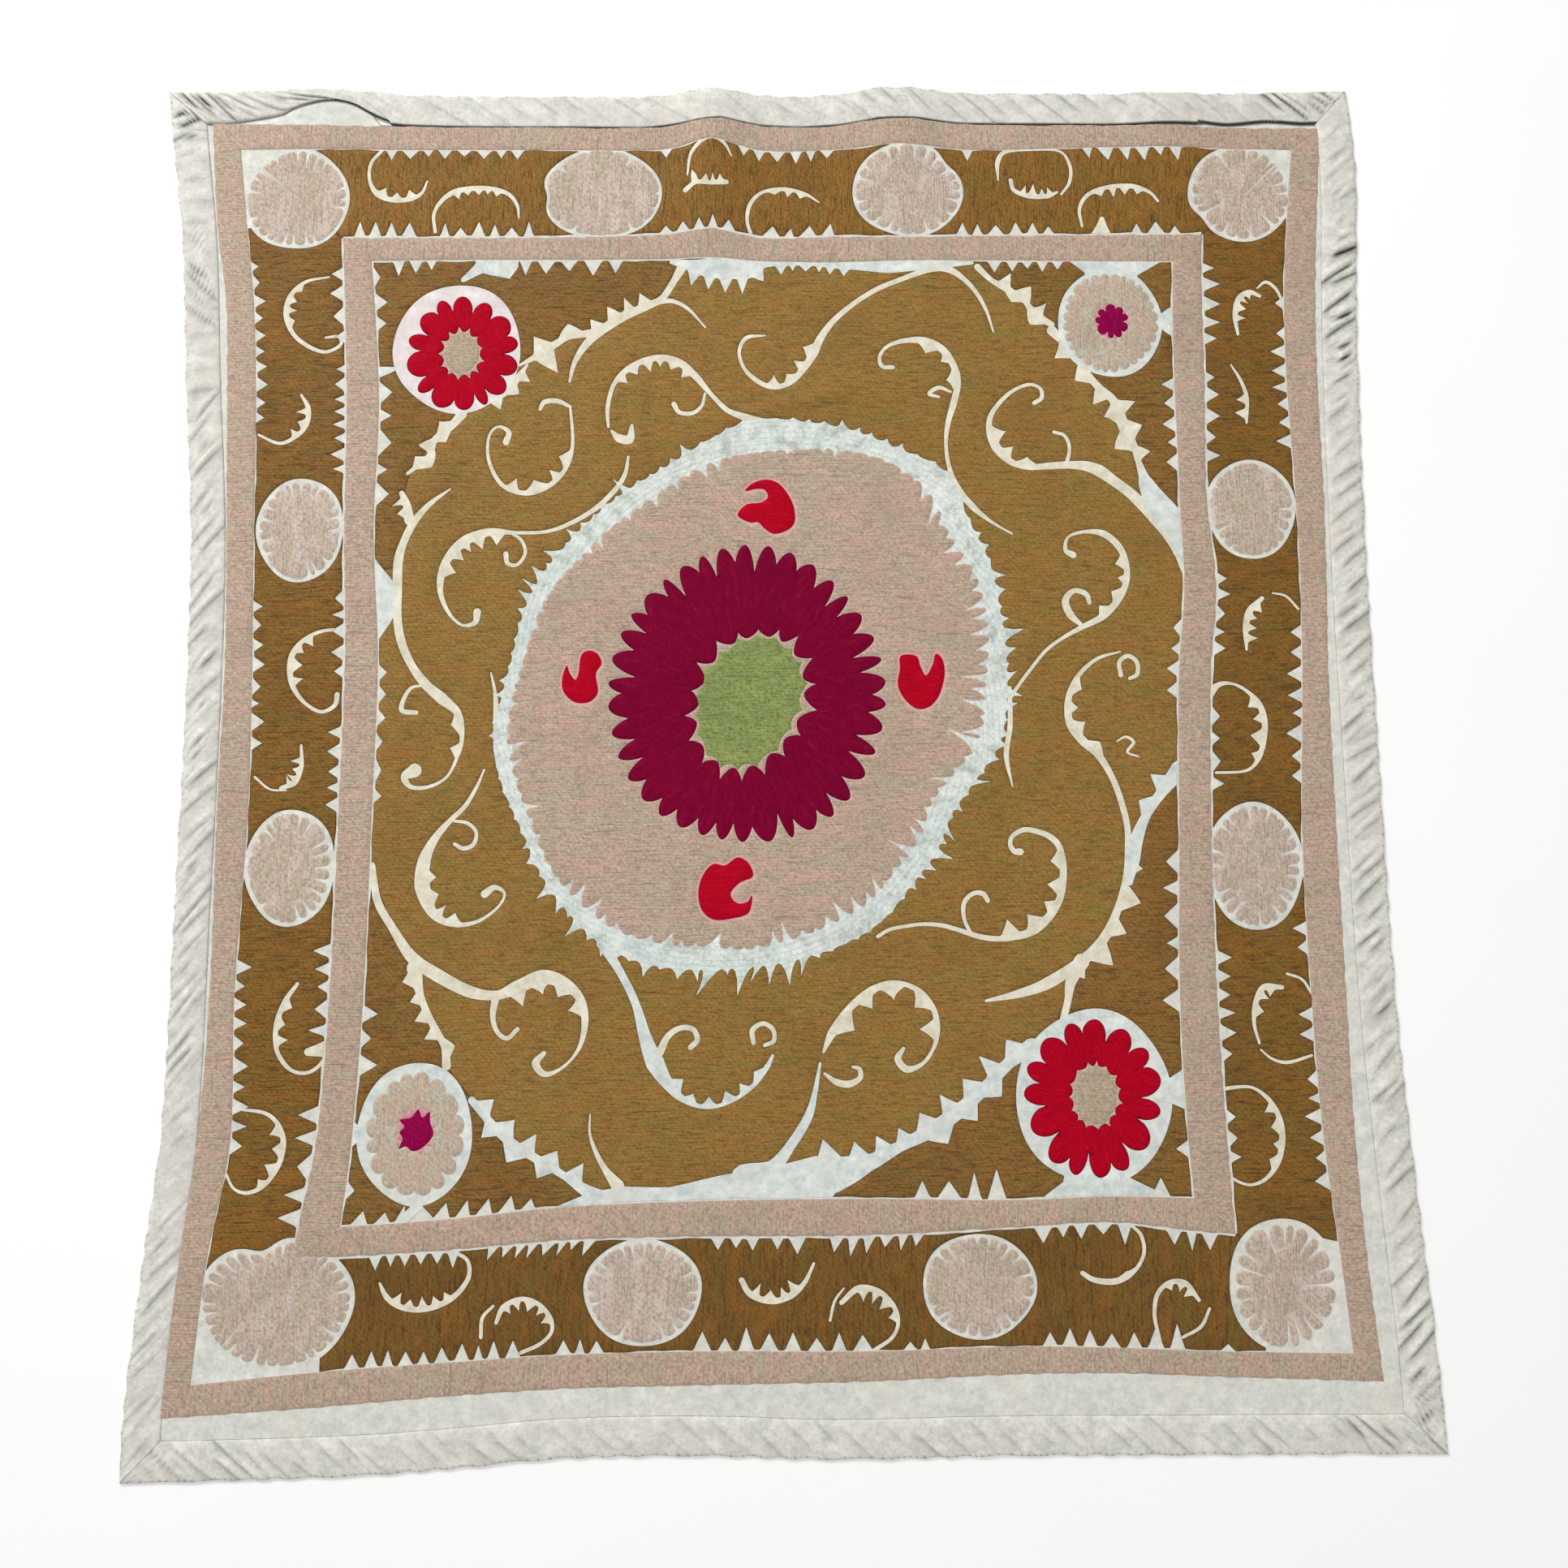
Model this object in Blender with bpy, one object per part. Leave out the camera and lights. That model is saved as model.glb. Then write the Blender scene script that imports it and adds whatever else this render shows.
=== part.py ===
"""An embroidered tablecloth, laid out flat: one stitched ground panel and four puckered edge strips."""
import math

import bmesh
import bpy
from mathutils import Vector

# Driving sizes, in metres. X runs across the cloth, Y along it towards the top edge, Z up.
PANEL_THICKNESS = 0.0022
STRIP_THICKNESS = 0.0018
STRIP_WIDTH = 0.034
SEAM_GAP = 0.0004
PUCKER_PITCH = 0.022
PUCKER_HEIGHT = 0.0018
SLANT_FADE = 0.05
PANEL_COLUMNS = 30
PANEL_ROWS = 32
STRIP_ROWS = 3

# How far each edge strip's gathers lean along it, from its outer edge to its seam.
STRIP_SLANTS = {"left": 0.024, "right": -0.026, "top": 0.036, "bottom": -0.036}

# The cloth's outline as it lies. Each side is a short table of points along it.
TOP_SIDE = (
    # x, y
    (-0.581, 0.634),
    (-0.500, 0.635),
    (-0.420, 0.636),
    (-0.330, 0.631),
    (-0.200, 0.630),
    (-0.115, 0.630),
    (-0.058, 0.636),
    (0.000, 0.630),
    (0.060, 0.632),
    (0.115, 0.638),
    (0.175, 0.634),
    (0.300, 0.633),
    (0.430, 0.633),
    (0.549, 0.635),
)
BOTTOM_SIDE = (
    # x, y
    (-0.560, -0.641),
    (-0.460, -0.639),
    (-0.350, -0.635),
    (-0.270, -0.629),
    (-0.180, -0.621),
    (-0.060, -0.619),
    (0.060, -0.622),
    (0.200, -0.619),
    (0.390, -0.618),
    (0.581, -0.617),
)
LEFT_SIDE = (
    # x, y
    (-0.560, -0.641),
    (-0.561, -0.590),
    (-0.556, -0.520),
    (-0.548, -0.430),
    (-0.540, -0.350),
    (-0.538, -0.150),
    (-0.537, 0.060),
    (-0.540, 0.200),
    (-0.551, 0.340),
    (-0.561, 0.480),
    (-0.573, 0.570),
    (-0.581, 0.634),
)
RIGHT_SIDE = (
    # x, y
    (0.581, -0.617),
    (0.576, -0.520),
    (0.567, -0.410),
    (0.556, -0.240),
    (0.551, -0.020),
    (0.548, 0.200),
    (0.550, 0.400),
    (0.556, 0.560),
    (0.549, 0.635),
)

# Where the cloth stands off the surface it lies on: low rounded folds, most of them running in from the edge.
FOLDS = (
    # x, y of the crest's middle, half length, half width, turn in degrees, height
    (-0.058, 0.600, 0.085, 0.030, 90.0, 0.0090),
    (0.115, 0.606, 0.075, 0.040, 90.0, 0.0065),
    (0.377, 0.612, 0.050, 0.032, 100.0, 0.0045),
    (-0.430, 0.612, 0.045, 0.055, 84.0, 0.0040),
    (0.020, 0.330, 0.090, 0.022, 6.0, 0.0022),
    (-0.300, 0.468, 0.080, 0.024, -4.0, 0.0018),
    (0.395, 0.300, 0.110, 0.030, 62.0, 0.0022),
    (-0.330, 0.060, 0.120, 0.030, 96.0, 0.0016),
    (0.330, -0.180, 0.120, 0.030, 80.0, 0.0016),
    (-0.200, -0.340, 0.140, 0.032, 12.0, 0.0018),
    (0.180, -0.420, 0.150, 0.034, -8.0, 0.0018),
    (-0.500, -0.480, 0.070, 0.030, 60.0, 0.0022),
)
FOLD_EDGE = 0.0003

COTTON = ("cotton_ground", (0.78, 0.79, 0.74), 0.92)
STRIP_COTTON = ("strip_cotton", (0.72, 0.74, 0.70), 0.93)


def smooth_side(table, share, key):
    """The point at a share of the way along a side, on a smooth curve through its table."""
    first, last = table[0][key], table[-1][key]
    value = first + (last - first) * share
    index = 0
    while index < len(table) - 2 and table[index + 1][key] < value:
        index += 1
    before = Vector(table[max(index - 1, 0)])
    start = Vector(table[index])
    end = Vector(table[index + 1])
    after = Vector(table[min(index + 2, len(table) - 1)])
    span = end[key] - start[key]
    part = (value - start[key]) / span
    slope_in = (end - before) * span / (end[key] - before[key])
    slope_out = (after - start) * span / (after[key] - start[key])
    square, cube = part * part, part**3
    return (
        start * (2 * cube - 3 * square + 1)
        + slope_in * (cube - 2 * square + part)
        + end * (3 * square - 2 * cube)
        + slope_out * (cube - square)
    )


def stations(table, key, count):
    """Evenly spaced points along a side, which every piece that meets it shares."""
    return [smooth_side(table, i / count, key) for i in range(count + 1)]


def centred(sides):
    """The sides moved so that the middle of the cloth's plan lies at the origin."""
    points = [p for side in sides.values() for p in side]
    low = Vector((min(p.x for p in points), min(p.y for p in points)))
    high = Vector((max(p.x for p in points), max(p.y for p in points)))
    middle = (low + high) / 2
    return {name: [p - middle for p in side] for name, side in sides.items()}


SIDES = centred({
    "top": stations(TOP_SIDE, 0, PANEL_COLUMNS),
    "bottom": stations(BOTTOM_SIDE, 0, PANEL_COLUMNS),
    "left": stations(LEFT_SIDE, 1, PANEL_ROWS),
    "right": stations(RIGHT_SIDE, 1, PANEL_ROWS),
})
WIDTH = TOP_SIDE[-1][0] - TOP_SIDE[0][0]
LENGTH = LEFT_SIDE[-1][1] - LEFT_SIDE[0][1]


def on_side(name, share):
    """A point on a side, on the straight run between its two nearest stations."""
    points = SIDES[name]
    place = min(max(share, 0.0), 1.0) * (len(points) - 1)
    index = min(int(place), len(points) - 2)
    return points[index].lerp(points[index + 1], place - index)


def on_cloth(across, along):
    """The plan position for shares of the way across and along, blended from the four sides."""
    bottom_left, bottom_right = SIDES["bottom"][0], SIDES["bottom"][-1]
    top_left, top_right = SIDES["top"][0], SIDES["top"][-1]
    between_ends = on_side("bottom", across).lerp(on_side("top", across), along)
    between_sides = on_side("left", along).lerp(on_side("right", along), across)
    corners = bottom_left.lerp(bottom_right, across).lerp(top_left.lerp(top_right, across), along)
    return between_ends + between_sides - corners


def fold_lift(point):
    """How high the cloth's underside stands off the surface at a plan position."""
    lift = 0.0
    for x, y, half_length, half_width, turn, height in FOLDS:
        angle = math.radians(turn)
        step = point - Vector((x, y))
        run = step.x * math.cos(angle) + step.y * math.sin(angle)
        side = step.y * math.cos(angle) - step.x * math.sin(angle)
        lift += height * math.exp(-((run / half_length) ** 2) - (side / half_width) ** 2)
    return max(lift - FOLD_EDGE, 0.0)


def raised(point, above):
    """The plan position lifted onto the folds, and by the given height above them."""
    return (point.x, point.y, fold_lift(point) + above)


def make_material(name, colour, roughness):
    material = bpy.data.materials.new(name)
    material.use_nodes = True
    shader = material.node_tree.nodes["Principled BSDF"]
    shader.inputs["Base Color"].default_value = (*colour, 1.0)
    shader.inputs["Roughness"].default_value = roughness
    shader.inputs["Metallic"].default_value = 0.0
    return material


def closed_sheet(name, upper, lower, material):
    """One closed solid between an upper and a lower grid of points, which share their number of columns."""
    mesh_work = bmesh.new()
    top = [[mesh_work.verts.new(p) for p in column] for column in upper]
    under = [[mesh_work.verts.new(p) for p in column] for column in lower]
    for grid in (top, under):
        for column, following in zip(grid, grid[1:]):
            for i in range(len(column) - 1):
                mesh_work.faces.new((column[i], column[i + 1], following[i + 1], following[i]))
    for i in range(len(top) - 1):
        for end in (0, -1):
            mesh_work.faces.new((top[i][end], top[i + 1][end], under[i + 1][end], under[i][end]))
    for end in (0, -1):
        if len(top[end]) == len(under[end]):
            for i in range(len(top[end]) - 1):
                mesh_work.faces.new((top[end][i], top[end][i + 1], under[end][i + 1], under[end][i]))
        else:
            mesh_work.faces.new(top[end] + under[end][::-1])
    bmesh.ops.recalc_face_normals(mesh_work, faces=mesh_work.faces)
    mesh = bpy.data.meshes.new(name)
    mesh_work.to_mesh(mesh)
    mesh_work.free()
    mesh.materials.append(material)
    mesh.shade_smooth()
    mesh.set_sharp_from_angle(angle=math.radians(40))
    piece = bpy.data.objects.new(name, mesh)
    bpy.context.scene.collection.objects.link(piece)
    return piece


def make_panel(material):
    """The stitched ground, inside the seams of the edge strips."""
    inset_across = (STRIP_WIDTH + SEAM_GAP) / WIDTH
    inset_along = (STRIP_WIDTH + SEAM_GAP) / LENGTH
    acrosses = [inset_across] + [i / PANEL_COLUMNS for i in range(1, PANEL_COLUMNS)] + [1 - inset_across]
    alongs = [inset_along] + [i / PANEL_ROWS for i in range(1, PANEL_ROWS)] + [1 - inset_along]
    places = [[on_cloth(across, along) for along in alongs if inset_along <= along <= 1 - inset_along]
              for across in acrosses if inset_across <= across <= 1 - inset_across]
    upper = [[raised(p, PANEL_THICKNESS) for p in column] for column in places]
    lower = [[raised(p, 0.0) for p in column] for column in places]
    return closed_sheet("ground_panel", upper, lower, material)


def strip_place(side, along, depth):
    """A point of an edge strip. depth runs from 0 at the outer edge to 1 at the seam, and the ends are mitred."""
    inset_across = STRIP_WIDTH / WIDTH * depth
    inset_along = STRIP_WIDTH / LENGTH * depth
    if side in ("left", "right"):
        end_gap = SEAM_GAP / LENGTH
        y = inset_along + end_gap + (1 - 2 * inset_along - 2 * end_gap) * along
        return on_cloth(inset_across if side == "left" else 1 - inset_across, y)
    x = inset_across + (1 - 2 * inset_across) * along
    return on_cloth(x, inset_along if side == "bottom" else 1 - inset_along)


def pucker(index, depth):
    """The height of a strip's gathers: alternate columns stand up, each by its own amount."""
    own_share = 0.72 + 0.28 * math.sin(index * 2.4) * math.cos(index * 0.9)
    crest = 1.0 if index % 2 else 0.1
    across_share = math.sin(math.pi * (0.12 + 0.80 * depth))
    return PUCKER_HEIGHT * own_share * crest * across_share


def make_strip(side, material):
    """One edge strip, gathered into slanting puckers along its whole length."""
    run = LENGTH if side in ("left", "right") else WIDTH
    columns = 2 * round(run / PUCKER_PITCH)
    upper, lower = [], []
    for i in range(columns + 1):
        share = i / columns
        fade = min(1.0, share / SLANT_FADE, (1 - share) / SLANT_FADE)
        tops = []
        for j in range(STRIP_ROWS + 1):
            depth = j / STRIP_ROWS
            shifted = share + STRIP_SLANTS[side] / run * (depth - 0.5) * fade
            place = strip_place(side, shifted, depth)
            tops.append((place, STRIP_THICKNESS + pucker(i, depth)))
        upper.append([raised(place, above) for place, above in tops])
        lower.append([raised(tops[0][0], 0.0), raised(tops[-1][0], 0.0)])
    return closed_sheet(f"edge_strip_{side}", upper, lower, material)


def main():
    for item in list(bpy.data.objects):
        bpy.data.objects.remove(item)
    ground = make_material(*COTTON)
    strip_cloth = make_material(*STRIP_COTTON)
    make_panel(ground)
    for side in STRIP_SLANTS:
        make_strip(side, strip_cloth)


main()
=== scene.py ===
"""An embroidered tablecloth laid out flat: its cloths, its laid thread work and their finishes."""
import math
import random

import bmesh
import bpy
import numpy as np
from bpy.props import FloatProperty, FloatVectorProperty, IntProperty, PointerProperty
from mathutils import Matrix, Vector, geometry, kdtree


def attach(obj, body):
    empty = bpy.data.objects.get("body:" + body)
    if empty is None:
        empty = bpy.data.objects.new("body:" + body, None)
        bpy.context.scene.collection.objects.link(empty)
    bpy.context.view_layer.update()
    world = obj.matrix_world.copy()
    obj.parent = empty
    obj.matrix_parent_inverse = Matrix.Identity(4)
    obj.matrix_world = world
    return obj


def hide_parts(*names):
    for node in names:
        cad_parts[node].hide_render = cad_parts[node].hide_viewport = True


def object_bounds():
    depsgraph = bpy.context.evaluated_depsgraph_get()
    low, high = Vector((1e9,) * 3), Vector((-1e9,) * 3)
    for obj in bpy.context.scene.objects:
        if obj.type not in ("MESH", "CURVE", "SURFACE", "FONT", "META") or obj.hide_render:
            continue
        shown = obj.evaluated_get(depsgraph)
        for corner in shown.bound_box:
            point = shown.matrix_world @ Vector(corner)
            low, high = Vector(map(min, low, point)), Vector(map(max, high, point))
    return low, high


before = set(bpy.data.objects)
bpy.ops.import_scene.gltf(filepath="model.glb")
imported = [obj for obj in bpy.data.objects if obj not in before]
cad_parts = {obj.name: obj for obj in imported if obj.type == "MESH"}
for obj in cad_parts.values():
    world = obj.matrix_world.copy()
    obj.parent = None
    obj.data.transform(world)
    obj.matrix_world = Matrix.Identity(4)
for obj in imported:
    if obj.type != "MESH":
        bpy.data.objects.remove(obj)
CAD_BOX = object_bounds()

bl_info = {
    "name": "Embroidered Tablecloth",
    "version": (1, 0, 0),
    "blender": (4, 5, 0),
    "location": "View3D > Sidebar > Tablecloth",
    "description": "Builds an embroidered tablecloth with laid thread work and gathered edge strips",
    "category": "Object",
}

MM = 0.001
RADIAL, ACROSS, ALONG = "radial", "across", "along"


def tint(red, green, blue):
    """A colour as it is seen, on a scale of 255, turned into the linear one that a shader takes."""
    return tuple((c / 255 / 12.92) if c <= 10 else ((c / 255 + 0.055) / 1.055) ** 2.4 for c in (red, green, blue))


# The cloth's outline as it lies, in metres, the same as its solids have.
TOP_SIDE = (
    # x, y
    (-0.581, 0.634),
    (-0.500, 0.635),
    (-0.420, 0.636),
    (-0.330, 0.631),
    (-0.200, 0.630),
    (-0.115, 0.630),
    (-0.058, 0.636),
    (0.000, 0.630),
    (0.060, 0.632),
    (0.115, 0.638),
    (0.175, 0.634),
    (0.300, 0.633),
    (0.430, 0.633),
    (0.549, 0.635),
)
BOTTOM_SIDE = (
    # x, y
    (-0.560, -0.641),
    (-0.460, -0.639),
    (-0.350, -0.635),
    (-0.270, -0.629),
    (-0.180, -0.621),
    (-0.060, -0.619),
    (0.060, -0.622),
    (0.200, -0.619),
    (0.390, -0.618),
    (0.581, -0.617),
)
LEFT_SIDE = (
    # x, y
    (-0.560, -0.641),
    (-0.561, -0.590),
    (-0.556, -0.520),
    (-0.548, -0.430),
    (-0.540, -0.350),
    (-0.538, -0.150),
    (-0.537, 0.060),
    (-0.540, 0.200),
    (-0.551, 0.340),
    (-0.561, 0.480),
    (-0.573, 0.570),
    (-0.581, 0.634),
)
RIGHT_SIDE = (
    # x, y
    (0.581, -0.617),
    (0.576, -0.520),
    (0.567, -0.410),
    (0.556, -0.240),
    (0.551, -0.020),
    (0.548, 0.200),
    (0.550, 0.400),
    (0.556, 0.560),
    (0.549, 0.635),
)
PANEL_COLUMNS = 30
PANEL_ROWS = 32
STRIP_WIDTH = 0.034
SEAM_GAP = 0.0004
STRIP_SLANTS = {"left": 0.034, "right": -0.024, "top": 0.036, "bottom": -0.036}
SLANT_FADE = 0.05

# Where the cloth stands off the surface it lies on, in metres, the same as its solids do.
FOLDS = (
    # x, y of the crest's middle, half length, half width, turn in degrees, height
    (-0.058, 0.600, 0.085, 0.030, 90.0, 0.0090),
    (0.115, 0.606, 0.075, 0.040, 90.0, 0.0065),
    (0.377, 0.612, 0.050, 0.032, 100.0, 0.0045),
    (-0.430, 0.612, 0.045, 0.055, 84.0, 0.0040),
    (0.020, 0.330, 0.090, 0.022, 6.0, 0.0022),
    (-0.300, 0.468, 0.080, 0.024, -4.0, 0.0018),
    (0.395, 0.300, 0.110, 0.030, 62.0, 0.0022),
    (-0.330, 0.060, 0.120, 0.030, 96.0, 0.0016),
    (0.330, -0.180, 0.120, 0.030, 80.0, 0.0016),
    (-0.200, -0.340, 0.140, 0.032, 12.0, 0.0018),
    (0.180, -0.420, 0.150, 0.034, -8.0, 0.0018),
    (-0.500, -0.480, 0.070, 0.030, 60.0, 0.0022),
)
FOLD_EDGE = 0.0003

# Narrow soft creases between the folds, in metres.
CREASES = (
    # x, y of the crest's middle, half length, half width, turn in degrees, height
    (0.005, 0.322, 0.060, 0.005, 14.0, 0.0022),
    (0.040, 0.330, 0.035, 0.004, 22.0, 0.0014),
    (-0.210, 0.440, 0.050, 0.005, 2.0, 0.0010),
    (-0.060, 0.290, 0.060, 0.005, -3.0, 0.0008),
    (-0.225, 0.290, 0.050, 0.004, 1.0, 0.0007),
    (0.060, -0.330, 0.080, 0.006, -4.0, 0.0008),
    (0.240, 0.200, 0.060, 0.005, 8.0, 0.0007),
    (0.420, 0.168, 0.045, 0.004, 4.0, 0.0008),
    (0.395, 0.412, 0.040, 0.004, 0.0, 0.0009),
    (-0.330, 0.020, 0.030, 0.004, 16.0, 0.0010),
    (-0.510, 0.010, 0.026, 0.006, 6.0, 0.0010),
    (0.120, 0.020, 0.050, 0.006, -12.0, 0.0006),
)

# The edges of the two pink bands, in mm. Each band has an outer and an inner edge.
OUTER_OUT, OUTER_IN, INNER_OUT, INNER_IN = 1, 2, 3, 4
BAND_EDGES = {
    "left": (
        # y, then x of: outer band's outer edge, its inner edge, inner band's outer edge, its inner edge
        (-590, -529, -506, -423, -390),
        (-450, -519, -493, -418, -381),
        (-350, -507, -478, -402, -371),
        (-220, -502, -480, -395, -365),
        (-60, -503, -475, -393, -363),
        (80, -502, -477, -392, -362),
        (200, -506, -481, -397, -370),
        (320, -511, -484, -399, -369),
        (420, -516, -490, -404, -376),
        (500, -528, -500, -409, -384),
        (600, -537, -512, -413, -392),
    ),
    "right": (
        (-570, 530, 507, 414, 383),
        (-450, 519, 496, 406, 374),
        (-340, 513, 485, 400, 366),
        (-220, 511, 480, 396, 363),
        (-80, 509, 478, 396, 367),
        (60, 508, 484, 400, 371),
        (150, 510, 486, 408, 379),
        (240, 511, 485, 402, 377),
        (360, 510, 481, 404, 376),
        (460, 513, 484, 405, 378),
        (600, 523, 497, 412, 386),
    ),
    "top": (
        # x, then y of the same four edges
        (-540, 604, 577, 488, 465),
        (-400, 600, 577, 488, 465),
        (-250, 603, 577, 488, 466),
        (-110, 601, 577, 491, 467),
        (-60, 614, 585, 497, 469),
        (-10, 603, 576, 488, 465),
        (60, 603, 577, 489, 464),
        (125, 608, 581, 489, 466),
        (200, 603, 577, 490, 466),
        (330, 602, 580, 491, 465),
        (440, 599, 578, 492, 465),
        (540, 599, 576, 492, 465),
    ),
    "bottom": (
        (-530, -586, -561, -452, -428),
        (-400, -577, -548, -451, -426),
        (-290, -568, -540, -445, -419),
        (-180, -561, -533, -436, -408),
        (-60, -558, -530, -433, -403),
        (80, -555, -530, -432, -401),
        (210, -549, -526, -425, -402),
        (300, -548, -527, -421, -399),
        (390, -551, -530, -430, -401),
        (530, -555, -532, -434, -402),
    ),
}

# Toothed runs of bare cloth along the bands, in mm. Teeth point away from the band, into the gold.
FRINGES = (
    # side, band edge, from, to, teeth, reach, lean
    ("top", OUTER_IN, -372, -236, 8, 9, 0.0),
    ("top", OUTER_IN, -110, -95, 1, 9, 0.0),
    ("top", OUTER_IN, -36, 60, 6, 9, 0.0),
    ("top", OUTER_IN, 178, 192, 1, 9, 0.0),
    ("top", OUTER_IN, 293, 392, 6, 10, 0.2),
    ("top", INNER_OUT, -400, -336, 4, 12, 0.0),
    ("top", INNER_OUT, -318, -226, 6, 12, 0.0),
    ("top", INNER_OUT, -110, -34, 5, 10, 0.0),
    ("top", INNER_OUT, -14, 60, 4, 10, 0.2),
    ("top", INNER_OUT, 172, 268, 6, 10, 0.0),
    ("top", INNER_OUT, 338, 388, 3, 9, 0.0),
    ("bottom", INNER_OUT, -354, -272, 6, 11, 0.0),
    ("bottom", INNER_OUT, -250, -153, 8, 10, -0.5),
    ("bottom", INNER_OUT, -56, -10, 3, 11, 0.0),
    ("bottom", INNER_OUT, -3, 32, 2, 11, 0.0),
    ("bottom", INNER_OUT, 48, 134, 6, 12, -0.2),
    ("bottom", INNER_OUT, 226, 316, 5, 13, 0.0),
    ("bottom", INNER_OUT, 342, 392, 3, 13, 0.0),
    ("bottom", OUTER_IN, -373, -216, 10, 13, 0.0),
    ("bottom", OUTER_IN, -190, -144, 3, 10, 0.0),
    ("bottom", OUTER_IN, -72, 90, 8, 15, 0.0),
    ("bottom", OUTER_IN, 112, 138, 2, 8, 0.0),
    ("bottom", OUTER_IN, 232, 360, 7, 16, 0.0),
    ("bottom", OUTER_IN, 386, 404, 1, 6, 0.0),
    ("left", OUTER_IN, 304, 466, 10, 8, 0.0),
    ("left", OUTER_IN, -5, 138, 8, 9, 0.0),
    ("left", OUTER_IN, -366, -190, 10, 12, 0.0),
    ("left", INNER_OUT, 382, 461, 4, 10, 0.0),
    ("left", INNER_OUT, 256, 364, 8, 10, 0.0),
    ("left", INNER_OUT, 62, 148, 5, 9, 0.0),
    ("left", INNER_OUT, -62, 21, 5, 9, 0.0),
    ("left", INNER_OUT, -262, -176, 5, 12, 0.0),
    ("left", INNER_OUT, -428, -318, 5, 14, 0.0),
    ("right", INNER_OUT, 380, 465, 5, 12, 0.0),
    ("right", INNER_OUT, 266, 357, 5, 10, 0.0),
    ("right", INNER_OUT, 82, 164, 5, 9, 0.0),
    ("right", INNER_OUT, -42, 40, 4, 8, 0.0),
    ("right", INNER_OUT, -284, -182, 6, 11, 0.0),
    ("right", INNER_OUT, -372, -322, 3, 9, 0.0),
    ("right", OUTER_IN, 415, 432, 1, 9, 0.0),
    ("right", OUTER_IN, 279, 402, 7, 11, 0.0),
    ("right", OUTER_IN, -36, 116, 8, 11, 0.0),
    ("right", OUTER_IN, -190, -156, 2, 10, 0.0),
    ("right", OUTER_IN, -267, -232, 2, 10, 0.0),
    ("right", OUTER_IN, -397, -287, 6, 11, 0.0),
    ("top", INNER_IN, -362, -317, 3, 12, 0.0),
    ("top", INNER_IN, -264, -140, 6, 13, 0.0),
    ("top", INNER_IN, 200, 276, 5, 9, 0.0),
    ("left", INNER_IN, 394, 462, 3, 8, 0.0),
    ("left", INNER_IN, 222, 350, 5, 10, 0.0),
    ("left", INNER_IN, -54, 78, 6, 6, 0.0),
    ("left", INNER_IN, -298, -230, 3, 12, 0.0),
    ("left", INNER_IN, -404, -384, 1, 9, 0.0),
    ("bottom", INNER_IN, -372, -206, 9, 11, 0.3),
    ("bottom", INNER_IN, 122, 208, 4, 20, 0.0),
    ("bottom", INNER_IN, 330, 352, 1, 13, 0.0),
    ("right", INNER_IN, 256, 352, 5, 10, 0.0),
    ("right", INNER_IN, 42, 122, 4, 10, 0.0),
    ("right", INNER_IN, -242, -90, 6, 11, 0.0),
    ("right", INNER_IN, -368, -348, 1, 8, 0.0),
)
FRINGE_REST = {OUTER_IN: 1.0, INNER_OUT: 2.0, INNER_IN: 1.6}

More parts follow.
